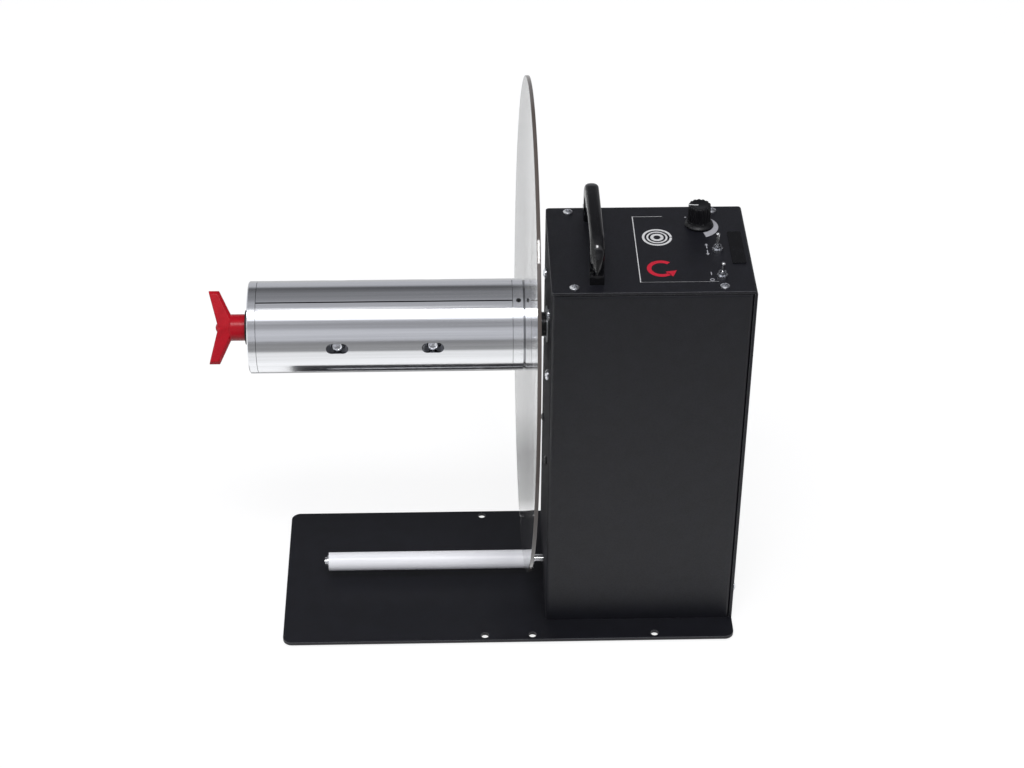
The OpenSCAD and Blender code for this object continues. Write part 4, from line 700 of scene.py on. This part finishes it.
def ink(name, tone):
    """Screen-printed ink: slightly uneven cover and a satin gloss."""
    film = Finish(name, tone, roughness=0.45)
    return film.grained(size=0.0007, darker=0.9, lighter=1.05, smooth=0.38, rough=0.55, detail=3.0)


FINISHES = {
    "black_powder": powder_coat,
    "wall_powder": wall_coat,
    "clear_acrylic": clear_acrylic,
    "turned_aluminium": turned_aluminium,
    "cut_aluminium": cut_aluminium,
    "cast_aluminium": cast_aluminium,
    "bright_steel": bright_steel,
    "zinc_steel": zinc_plate,
    "black_steel": black_oxide,
    "red_plastic": red_plastic,
    "black_plastic": black_plastic,
    "matt_plastic": matt_plastic,
    "white_plastic": white_plastic,
    "rubber_black": rubber,
    "bronze": bronze,
    "winding_copper": winding_copper,
    "magnet_grey": magnet_grey,
    "board_green": board_green,
    "switch_blue": switch_blue,
}

# Solids whose finish differs from that of their slot
OWN_FINISHES = {
    "chassis": "wall_powder",
    "chuck_hub": "cut_aluminium",
    "chuck_leaf_1": "cut_aluminium",
    "chuck_leaf_2": "cut_aluminium",
    "chuck_leaf_3": "cut_aluminium",
    "spindle_shaft": "black_steel",
}


def finish(slot):
    """The slot's material, made at its first use."""
    name = f"finish_{slot}"
    return bpy.data.materials.get(name) or FINISHES[slot](name)


# Pieces

class UNWINDER_OT_node_finishes(bpy.types.Operator):
    """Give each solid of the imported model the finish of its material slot, or its own"""

    bl_idname = "unwinder.node_finishes"
    bl_label = "Node finishes"

    def execute(self, context):
        for part in frame["record"]["subparts"]:
            name = OWN_FINISHES.get(part["node"], part["material_slot"])
            for slot in frame["nodes"][part["node"]].material_slots:
                slot.material = finish(name)
        return {"FINISHED"}


def handle_rings(sizes, low, high):
    """Rings of the bridge handle. Each station joins a point of the inner arch to one of the outer arch.
    Both go up the leg, round a quarter circle and across, and the mirror image comes down. A ring is flat
    inside with eased corners. Outside it is a superellipse, |a|^n + |b|^n = 1: round on the grip (n above
    2), keeled at the leg's foot (n near 1) and square on the foot itself."""
    half_l = (high.y - low.y) / 2
    height = high.z - low.z
    half_w = (high.x - low.x) / 2
    straight = height - sizes.outer_r
    foot_step = 0.0003
    leg_z = np.concatenate([[0, sizes.foot_h], np.linspace(sizes.foot_h + foot_step, straight, 12)])
    share = leg_z / straight
    turn = np.radians(np.linspace(0, 90, 17))[1:]

    def arch(edge, top, radius):
        leg = np.stack([0 * share - edge, share * (top - radius)], axis=-1)
        bend = np.stack([radius - edge - radius * np.cos(turn), top - radius + radius * np.sin(turn)],
                        axis=-1)
        return mirrored_stations(np.concatenate([leg, bend]))

    outer = arch(half_l, height, sizes.outer_r)
    inner = arch(half_l - sizes.foot, height - sizes.grip, sizes.inner_r)
    in_foot = outer[:, 1] <= sizes.foot_h
    keel_run = 0.006
    grip_run = 0.003
    climb = [sizes.foot_h, sizes.foot_h + keel_run, height - grip_run, height]
    climb_power = [1.25, 1.9, 2.0, 3.4]
    climb_dome = [sizes.keel, 0.0054, sizes.dome, sizes.dome]
    foot_power = 14
    foot_dome = 0.002
    power = np.where(in_foot, foot_power, np.interp(outer[:, 1], climb, climb_power))[:, None]
    dome = np.where(in_foot, foot_dome, np.interp(outer[:, 1], climb, climb_dome))
    thick = np.linalg.norm(outer - inner, axis=1)
    way = (outer - inner) / thick[:, None]
    round_turn = np.linspace(0, np.pi, 33)
    round_a = np.cos(round_turn)
    round_b = np.sin(round_turn)
    over_across = half_w * np.sign(round_a) * np.abs(round_a) ** (2 / power)
    over_depth = (thick - dome)[:, None] + dome[:, None] * np.abs(round_b) ** (2 / power)
    soft = 2 * sizes.edge
    under = np.array([[-half_w, soft], [soft - half_w, 0], [half_w - soft, 0], [half_w, soft]])
    across = np.concatenate([over_across, np.repeat(under[None, :, 0], len(outer), axis=0)], axis=1)
    depth = np.concatenate([over_depth, np.repeat(under[None, :, 1], len(outer), axis=0)], axis=1)
    y = (low.y + high.y) / 2 + inner[:, :1] + depth * way[:, :1]
    z = low.z + inner[:, 1:] + depth * way[:, 1:]
    return np.stack([(low.x + high.x) / 2 + across, y, z], axis=-1)


class UNWINDER_OT_carry_handle(bpy.types.Operator):
    """Build the glossy bridge handle with its rounded grip and square feet"""

    bl_idname = "unwinder.carry_handle"
    bl_label = "Carry handle"

    def execute(self, context):
        sizes = settings().handle
        rings = handle_rings(sizes, *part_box("carry_handle"))
        handle = piece("handle_bridge", [tube(rings)], "frame", finish("black_plastic"),
                       replaces=["carry_handle"])
        soft = handle.modifiers.new("edges", "BEVEL")
        soft.width = sizes.edge
        soft.segments = 2
        soft.limit_method = "ANGLE"
        soft.angle_limit = math.radians(40)
        return {"FINISHED"}


def wing_rings(sizes, base_x, axis_z, side):
    """Rings of one wing: bevelled oblongs stacked outwards from the axis, swept forward in step with the
    radius. The bevel is wide on the chuck's side and narrow on the outer side, each at most a share of the
    wing's half thickness, and the wing's end is bevelled alike."""
    root_r = 0.001
    wide_share = 0.8
    narrow_share = 0.4
    radius = np.array([root_r, sizes.reach - sizes.bevel, sizes.reach])
    share = radius / sizes.reach
    mid = sizes.hub_l + sizes.root_w / 2 - sizes.sink + sizes.sweep * share
    half_w = (sizes.root_w + (sizes.tip_w - sizes.root_w) * share) / 2
    half_t = (sizes.wing_t + (sizes.tip_t - sizes.wing_t) * share) / 2 - sizes.bevel * np.array([0, 0, 1])
    wide = np.minimum(sizes.bevel, wide_share * half_t)
    narrow = np.minimum(sizes.outer_bevel, narrow_share * half_t)
    half_along = np.stack([-half_w, wide - half_w, half_w - narrow, half_w], axis=-1)
    half_thick = np.stack([half_t - wide, half_t, half_t, half_t - narrow], axis=-1)
    along = mid[:, None] + np.concatenate([half_along, half_along[:, ::-1]], axis=1)
    thick = np.concatenate([half_thick, -half_thick[:, ::-1]], axis=1)
    out = side * radius[:, None]
    y = out * math.sin(sizes.turn) + thick * math.cos(sizes.turn)
    z = out * math.cos(sizes.turn) - thick * math.sin(sizes.turn)
    return np.stack([base_x - along, y, axis_z + z], axis=-1)


class UNWINDER_OT_wing_knob(bpy.types.Operator):
    """Build the moulded wing knob: hub, two swept wings and a dome, blended into one"""

    bl_idname = "unwinder.wing_knob"
    bl_label = "Wing knob"

    def execute(self, context):
        sizes = settings().wing_knob
        base_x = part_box("wing_knob")[1].x
        axis_z = middle("draw_screw", 2)
        hub_r = sizes.hub_d / 2
        bore_r = sizes.bore_d / 2
        soft = 0.0007
        floor = sizes.hub_l - sizes.roof
        hub = np.concatenate([
            [[0, floor], [bore_r, floor], [bore_r, 0]],
            arc((hub_r - soft, soft), soft, -90, 0),
            arc((hub_r - soft, sizes.hub_l - soft), soft, 0, 90),
            [[0, sizes.hub_l]],
        ])
        valley = sizes.hub_l + sizes.root_w - sizes.sink
        centre = valley + sizes.dome_h - sizes.dome_r
        dome = np.concatenate([[[0, floor + soft], [sizes.dome_r, floor + soft]],
                               arc((0, centre), sizes.dome_r, 0, 90, steps=12)])
        place = on_spindle(base_x, axis_z)
        parts = [turned(hub, place, turns=72), turned(dome, place, turns=48)]
        parts += [tube(wing_rings(sizes, base_x, axis_z, side)) for side in (-1, 1)]
        knob = piece("wing_knob_moulding", parts, "chuck_knob", finish("red_plastic"),
                     replaces=["wing_knob"])
        blend = knob.modifiers.new("blend", "REMESH")
        blend.mode = "VOXEL"
        blend.voxel_size = sizes.blend
        blend.use_smooth_shade = True
        ease = knob.modifiers.new("ease", "SMOOTH")
        ease.factor = 0.5
        ease.iterations = 2
        return {"FINISHED"}


# Torque dial: its small steps in metres, and places on its top as shares of the radius
DIAL_EASE = 0.0003
DIAL_LIP = 0.0002
DISH_OUT = 0.62
DISH_IN = 0.5
DISH_STEP = 0.00015
DISH_DEPTH = 0.0004
POINTER_IN = 0.48
POINTER_START = 0.0012
POINTER_LIFT = 0.00005


def flute_dips(sizes, turns):
    """Depth of the flutes round the dial: a half-ellipse at each flute,
    flute_depth * sqrt(1 - (2 d / flute_w)^2), where d is the distance from the flute's middle."""
    turn = np.linspace(0, FULL_TURN, turns, endpoint=False)
    pitch = FULL_TURN / sizes.flutes
    offset = np.abs((turn + pitch / 2) % pitch - pitch / 2) * sizes.body_d / 2
    return sizes.flute_depth * np.sqrt(np.clip(1 - (2 * offset / sizes.flute_w) ** 2, 0, 1))


class UNWINDER_OT_torque_dial(bpy.types.Operator):
    """Build the fluted torque dial with its flared skirt and pointer line"""

    bl_idname = "unwinder.torque_dial"
    bl_label = "Torque dial"

    def execute(self, context):
        sizes = settings().dial
        low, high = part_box("torque_knob")
        top = high.z - low.z
        skirt_r = (high.x - low.x) / 2
        body_r = sizes.body_d / 2
        crown_r = sizes.top_d / 2
        place = upright(*plan_middle("torque_knob"), low.z)
        shaft_r = sizes.shaft_d / 2
        room_r = sizes.room_d / 2
        roof = top - sizes.shaft_roof
        inside = [[0, roof], [shaft_r, roof], [shaft_r, sizes.room_h], [room_r, sizes.room_h], [room_r, 0]]
        rim = [[skirt_r - DIAL_EASE, 0], [skirt_r, DIAL_EASE], [skirt_r, sizes.rim_h - DIAL_EASE]]
        flare = np.linspace(0, 1, 8)
        skirt = np.stack([skirt_r - DIAL_LIP - (skirt_r - body_r - DIAL_EASE) * np.sin(flare * np.pi / 2),
                          sizes.rim_h + (sizes.skirt_h - sizes.rim_h) * flare], axis=-1)
        wall_h = np.linspace(sizes.skirt_h + DIAL_EASE, top - sizes.crown, 6)
        wall = np.stack([np.interp(wall_h, [sizes.skirt_h, top], [body_r, crown_r]), wall_h], axis=-1)
        crown = arc((crown_r - sizes.crown, top - sizes.crown), sizes.crown, 0, 90)[1:]
        dish = [[crown_r * DISH_OUT, top - DISH_STEP], [crown_r * DISH_IN, top - DISH_DEPTH],
                [0, top - DISH_DEPTH]]
        profile = np.concatenate([inside, rim, skirt, wall, crown, dish])
        is_body = np.zeros((len(profile), 1))
        first = len(inside) + len(rim) + len(skirt)
        is_body[first:first + len(wall) + len(crown)] = 1
        turns = 16 * sizes.flutes
        dial = turned(profile, place, turns, dip=is_body * flute_dips(sizes, turns))
        piece("torque_dial", [dial], "torque_knob", finish("matt_plastic"),
              replaces=["torque_knob"], crease=28)
        self.pointer(sizes, place, crown_r, top)
        return {"FINISHED"}

    def pointer(self, sizes, place, crown_r, top):
        """White line across the top towards the chuck, bent down over the crown."""
        half = sizes.pointer_w / 2
        run = np.array([POINTER_START, crown_r * POINTER_IN, crown_r * DISH_OUT, crown_r - sizes.crown,
                        crown_r - DIAL_EASE])
        drop = np.array([DISH_DEPTH, DISH_DEPTH, DISH_STEP, 0, DIAL_EASE])
        across = np.repeat(-run[:, None], 4, axis=1)
        along = np.repeat([[-half, half, half, -half]], len(run), axis=0)
        height = top - drop[:, None] + POINTER_LIFT * np.array([-2, -2, 1, 1])
        strip = tube(place(across, along, height))
        piece("dial_pointer", [strip], "torque_knob", ink("ink_pointer", "ink_white"))


def warped(sizes, x, z, rim_r):
    """Place on the spindle's axis for a sheet that is flat at the hub: beyond the flat, with s the share of
    the way to the rim, a point goes s^2 * (dish + lean * cosine of the angle to the lean's turn) towards the
    wall."""
    flat_r = sizes.flat_d / 2

    def place(across, along, height):
        radius = np.hypot(across, along)
        share = np.clip((radius - flat_r) / (rim_r - flat_r), 0, 1)
        facing = (across * np.cos(sizes.lean_turn) - along * np.sin(sizes.lean_turn)) / radius
        shift = share ** 2 * (sizes.dish + sizes.lean * facing)
        return np.stack([x - height + shift, along, z + across], axis=-1)

    return place


class UNWINDER_OT_clear_disc(bpy.types.Operator):
    """Build the clear disc with its slight warp and polished, rounded rim"""

    bl_idname = "unwinder.clear_disc"
    bl_label = "Clear disc"

    def execute(self, context):
        sizes = settings().disc
        low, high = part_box("flange_disc")
        rim_r = (high.y - low.y) / 2
        thick = high.x - low.x
        edge = sizes.edge_r
        rim = np.concatenate([arc((rim_r - edge, edge), edge, -90, 0),
                              arc((rim_r - edge, thick - edge), edge, 0, 90)])
        out = np.linspace(sizes.bore_d / 2, rim_r - 2 * edge, 25)
        face = np.stack([out, 0 * out], axis=-1)
        profile = np.concatenate([face, rim, face[::-1] + [0, thick], face[:1]])
        sheet = turned(profile, warped(sizes, high.x, middle("flange_disc", 2), rim_r), turns=320)
        piece("clear_disc", [sheet], "spindle", finish("clear_acrylic"),
              replaces=["flange_disc"])
        return {"FINISHED"}


# Print: marks at the dial and the switches in metres from their axes, and shares of the round marks' radius
ZERO_DOT = (-0.0100, 0.0114)
ZERO_DOT_R = (0.00001, 0.0008)
MARK_SIDE = 0.0082
MARK_W = 0.0008
SWITCH_ARROW = (0.0012, 0.0085)
ON_STROKE = (0.0035, 0.0075)
OFF_RING = 0.0034
OFF_RING_R = (0.0011, 0.0018)
ROLL_RINGS = ((0.84, 1.0), (0.58, 0.70), (0.24, 0.44))
SPIN_RING = 0.80
SPIN_ARC = (math.radians(50), math.radians(310))
SPIN_HEAD_BACK = 0.0004
SPIN_HEAD_L = 2.2
SPIN_HEAD_W = 0.72

# An arrow's head length and its half widths at tail, neck, head and tip, in widths of its line
ARROW_HEAD = 3.2
ARROW_HALVES = (0.5, 0.5, 1.7, 0.01)


def printed(inner, outer, sizes):
    """Thin closed film on the cover between two rows of points: each station is an oblong that reaches an
    ink's thickness into the cover and as far above it."""
    flat = np.stack([inner, outer, outer, inner], axis=1)
    height = cover_top() + np.repeat(sizes.ink_t * np.array([[-1, -1, 1, 1]]), len(inner), axis=0)
    return tube(np.concatenate([flat, height[:, :, None]], axis=2))


def heading(start, stop):
    """Unit vectors along and across the way between two points."""
    way = np.subtract(stop, start)
    way = way / np.linalg.norm(way)
    return way, np.array([-way[1], way[0]])


def line(start, stop, width, sizes):
    """Straight printed line between two points."""
    side = heading(start, stop)[1] * width / 2
    ends = np.stack([start, stop])
    return printed(ends - side, ends + side, sizes)


def arrow(tail, tip, width, sizes):
    """Printed arrow: a line with a triangular head over its last part."""
    way, side = heading(tail, tip)
    neck = tip - way * ARROW_HEAD * width
    stations = np.stack([tail, neck, neck, tip])
    half = np.array(ARROW_HALVES)[:, None] * width
    return printed(stations - half * side, stations + half * side, sizes)


def sector(centre, inner, outer, start, stop, sizes, steps):
    """Printed arc between two radii, each of which may change evenly along it."""
    turn = np.linspace(start, stop, steps)
    way = np.stack([np.cos(turn), np.sin(turn)], axis=-1)
    near = np.linspace(*np.broadcast_to(inner, 2), steps)
    far = np.linspace(*np.broadcast_to(outer, 2), steps)
    return printed(centre + way * near[:, None], centre + way * far[:, None], sizes)


class UNWINDER_OT_panel_print(bpy.types.Operator):
    """Print the frame, the torque scale, the control marks, a roll mark and a spin mark on the cover"""

    bl_idname = "unwinder.panel_print"
    bl_label = "Panel print"

    def execute(self, context):
        sizes = settings().panel_print
        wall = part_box("top_cover")[0].x
        white = ink("ink_white", "ink_white")
        grey = ink("ink_grey", "ink_grey")
        red = ink("ink_red", "ink_red")
        piece("panel_frame", self.frame_lines(sizes, wall), "frame", white)

        dial = plan_middle("torque_knob")
        outer = [sizes.scale_in + sizes.scale_thin, sizes.scale_out]
        wedge = sector(dial, sizes.scale_in, outer, sizes.scale_from, sizes.scale_to, sizes, steps=40)
        piece("torque_scale", [wedge], "frame", grey)

        marks = [sector(dial + ZERO_DOT, *ZERO_DOT_R, 0, FULL_TURN, sizes, steps=25)]
        for node in ("direction_toggle", "power_toggle"):
            marks += self.switch_marks(node, sizes)
        piece("control_marks", marks, "frame", grey)

        roll = np.array([wall + sizes.roll_x, sizes.roll_y])
        rings = [sector(roll, sizes.roll_r * near, sizes.roll_r * far, 0, FULL_TURN, sizes, steps=65)
                 for near, far in ROLL_RINGS]
        piece("roll_mark", rings, "frame", white)
        piece("spin_mark", self.spin_arrow(sizes, roll - [0, sizes.spin_drop]), "frame", red)
        return {"FINISHED"}

    def frame_lines(self, sizes, wall):
        """Long line of the frame and the two lines that leave its ends."""
        left = wall + sizes.frame_x
        inside = left + sizes.line_w / 2
        rear = sizes.frame_y - sizes.rear_w
        front = sizes.front_w - sizes.frame_y
        return [
            line((left, -sizes.frame_y), (left, sizes.frame_y), sizes.line_w, sizes),
            line((inside, rear), (left + sizes.frame_top, rear), sizes.rear_w, sizes),
            line((inside, front), (left + sizes.frame_low, front), sizes.front_w, sizes),
        ]

    def switch_marks(self, node, sizes):
        """Marks beside a switch: two arrows for the direction, a stroke and a ring for the power."""
        beside = plan_middle(node) - [MARK_SIDE, 0]
        if node == "direction_toggle":
            return [arrow(*(beside + [0, sign * y] for y in SWITCH_ARROW), MARK_W, sizes)
                    for sign in (1, -1)]
        stroke = line(*(beside + [0, y] for y in ON_STROKE), MARK_W, sizes)
        return [stroke, sector(beside - [0, OFF_RING], *OFF_RING_R, 0, FULL_TURN, sizes, steps=33)]

    def spin_arrow(self, sizes, centre):
        """Open ring with an arrow head at its end."""
        radius = sizes.roll_r * SPIN_RING
        half = sizes.spin_w / 2
        ring = sector(centre, radius - half, radius + half, *SPIN_ARC, sizes, steps=65)
        out = np.array([math.cos(SPIN_ARC[1]), math.sin(SPIN_ARC[1])])
        across = np.array([-out[1], out[0]])
        head = centre + out * radius - across * SPIN_HEAD_BACK
        tip = head + across * sizes.spin_w * SPIN_HEAD_L
        return [ring, arrow(head, tip, sizes.spin_w * SPIN_HEAD_W, sizes)]


# Stage

# Floor: brightness in gloss from 1 m in front (0) to 1 m behind (1), and rings of its mesh in metres
FLOOR_BANDS = ((0.0, 0.14), (0.235, 0.14), (0.26, 0.78), (0.375, 0.86), (0.46, 1.0), (0.54, 1.0),
               (0.555, 0.34), (0.59, 0.20), (0.625, 0.44), (0.90, 0.46))
FLOOR_RINGS = (0.0, 0.5, 2.0)

# Room: brightness before and behind its long light, from the front horizon (0) to the rear horizon (1)
FRONT_BANDS = ((0.0, 0.56), (0.13, 0.62), (0.17, 0.36), (0.27, 0.36))
WINDOW_PLACES = (0.30, 0.395)
REAR_BANDS = ((0.412, 0.46), (0.47, 0.42), (0.56, 0.36), (0.61, 0.25), (0.72, 0.22), (0.77, 0.11),
              (0.83, 0.13), (0.87, 0.50), (1.0, 0.52))
ROOM_TINT = (0.97, 0.98, 1.04)


def floor_material(stage):
    """Pale floor: a diffuse sheet that keeps shadows, with a glow that only the eye, glass and gloss see. In
    gloss it is brightest near the part and falls off with the distance in front and behind."""
    material = bpy.data.materials.new("pale_floor")
    floor = Nodes(material)
    floor.tree.nodes.clear()
    shown = floor.math("MULTIPLY", floor.seen(), stage.floor_glow)
    share = floor.span(floor.split("Object")["Y"], -1, 1)
    fall = floor.bands(share, FLOOR_BANDS, [stage.floor_gloss] * 3)
    gloss = floor.math("MULTIPLY", fall, floor.add("LightPath").outputs["Is Glossy Ray"])
    glow = floor.add("Emission")
    floor.join(floor.math("ADD", shown, gloss), glow.inputs["Strength"])
    sheet = floor.add("BsdfDiffuse", Color=(*stage.floor_colour, 1))
    both = floor.add("AddShader")
    floor.join(sheet.outputs["BSDF"], both.inputs[0])
    floor.join(glow.outputs["Emission"], both.inputs[1])
    floor.join(both.outputs["Shader"], floor.add("OutputMaterial").inputs["Surface"])
    return material


class UNWINDER_OT_stage(bpy.types.Operator):
    """Set the floor, the room's light, the lamp and the camera"""

    bl_idname = "unwinder.stage"
    bl_label = "Stage"

    def execute(self, context):
        stage = settings().stage
        context.scene.view_settings.view_transform = "Standard"
        self.floor(context, stage)
        self.room(context, stage)
        self.lamp(context, stage)
        self.camera(context, stage)
        return {"FINISHED"}

    def floor(self, context, stage):
        """Round floor at the part's foot."""
        radius = np.array([*FLOOR_RINGS, stage.floor_r])
        points, faces = turned(np.stack([radius, 0 * radius], axis=-1), upright(0, 0, 0), turns=64)
        mesh = bpy.data.meshes.new("floor")
        mesh.from_pydata(points, [], faces)
        mesh.validate()
        mesh.materials.append(floor_material(stage))
        floor = bpy.data.objects.new("floor", mesh)
        context.scene.collection.objects.link(floor)

    def room(self, context, stage):
        """Grey room with a long light above the front: brightness by the direction's turn about the chuck's
        line, from the front horizon (0) over the zenith (0.5) to the rear horizon (1). To the eye it is
        white."""
        world = bpy.data.worlds.new("grey_room")
        context.scene.world = world
        room = Nodes(world)
        room.tree.nodes.clear()
        way = room.split("Generated")
        turn = room.math("ARCTAN2", way["Z"], room.math("MULTIPLY", way["Y"], -1))
        levels = [*FRONT_BANDS, *((place, stage.window) for place in WINDOW_PLACES), *REAR_BANDS]
        tint = [share * stage.room for share in ROOM_TINT]
        grey = room.add("Background")
        room.join(room.bands(room.math("DIVIDE", turn, math.pi), levels, tint), grey.inputs["Color"])
        room.join(room.span(way["X"], -1, 1, 1 + stage.lean, 1 - stage.lean), grey.inputs["Strength"])
        white = room.add("Background", Color=(1, 1, 1, 1))
        mix = room.add("MixShader")
        room.join(room.seen(), mix.inputs["Fac"])
        room.join(grey.outputs["Background"], mix.inputs[1])
        room.join(white.outputs["Background"], mix.inputs[2])
        room.join(mix.outputs["Shader"], room.add("OutputWorld").inputs["Surface"])

    def lamp(self, context, stage):
        """Soft oblong lamp above the front, turned to face the part."""
        data = bpy.data.lights.new("soft_lamp", "AREA")
        data.shape = "RECTANGLE"
        data.size = stage.lamp_w
        data.size_y = stage.lamp_d
        data.energy = stage.lamp_power
        lamp = bpy.data.objects.new("soft_lamp", data)
        way = Vector((0, -math.cos(stage.lamp_turn), math.sin(stage.lamp_turn)))
        lamp.location = Vector((0, 0, middle("spindle_shaft", 2))) + stage.lamp_far * way
        lamp.rotation_euler = (math.radians(90) - stage.lamp_turn, 0, 0)
        context.scene.collection.objects.link(lamp)

    def camera(self, context, stage):
        """Camera at the photograph's viewing angle: yaw, then pitch, then roll about its line of sight."""
        right = Vector((math.cos(stage.yaw), math.sin(stage.yaw), 0))
        level = math.cos(stage.pitch)
        ahead = Vector((-math.sin(stage.yaw) * level, math.cos(stage.yaw) * level, -math.sin(stage.pitch)))
        up = right.cross(ahead)
        rolled_right = math.cos(stage.roll) * right - math.sin(stage.roll) * up
        rolled_up = math.sin(stage.roll) * right + math.cos(stage.roll) * up
        data = bpy.data.cameras.new("camera")
        data.sensor_fit = "HORIZONTAL"
        data.lens = data.sensor_width * stage.focal_px / stage.image_px[0]
        data.shift_x = (stage.image_px[0] / 2 - stage.centre_px[0]) / stage.image_px[0]
        data.shift_y = (stage.centre_px[1] - stage.image_px[1] / 2) / stage.image_px[0]
        camera = bpy.data.objects.new("camera", data)
        columns = Matrix((rolled_right, rolled_up, -ahead)).transposed()
        camera.matrix_world = Matrix.Translation(Vector(stage.eye)) @ columns.to_4x4()
        context.scene.collection.objects.link(camera)
        context.scene.camera = camera


OPERATORS = (
    UNWINDER_OT_stage,
    UNWINDER_OT_node_finishes,
    UNWINDER_OT_clear_disc,
    UNWINDER_OT_wing_knob,
    UNWINDER_OT_carry_handle,
    UNWINDER_OT_torque_dial,
    UNWINDER_OT_panel_print,
)


class UNWINDER_PT_pieces(bpy.types.Panel):
    """Lists the steps that build the label unwinder's looks"""

    bl_idname = "UNWINDER_PT_pieces"
    bl_label = "Label unwinder"
    bl_space_type = "VIEW_3D"
    bl_region_type = "UI"
    bl_category = "Unwinder"

    def draw(self, context):
        for operator in OPERATORS:
            self.layout.operator(operator.bl_idname)


CLASSES = (*GROUPS.values(), UnwinderSettings, *OPERATORS, UNWINDER_PT_pieces)


def register():
    """Registers the classes and the scene's settings."""
    for cls in CLASSES:
        bpy.utils.register_class(cls)
    bpy.types.Scene.unwinder = PointerProperty(type=UnwinderSettings)


def unregister():
    """Removes what register added."""
    del bpy.types.Scene.unwinder
    for cls in reversed(CLASSES):
        bpy.utils.unregister_class(cls)


def main():
    """Builds the looks step by step."""
    register()
    bpy.ops.unwinder.stage()
    bpy.ops.unwinder.node_finishes()
    bpy.ops.unwinder.clear_disc()
    bpy.ops.unwinder.wing_knob()
    bpy.ops.unwinder.carry_handle()
    bpy.ops.unwinder.torque_dial()
    bpy.ops.unwinder.panel_print()


if __name__ == "__main__":
    main()
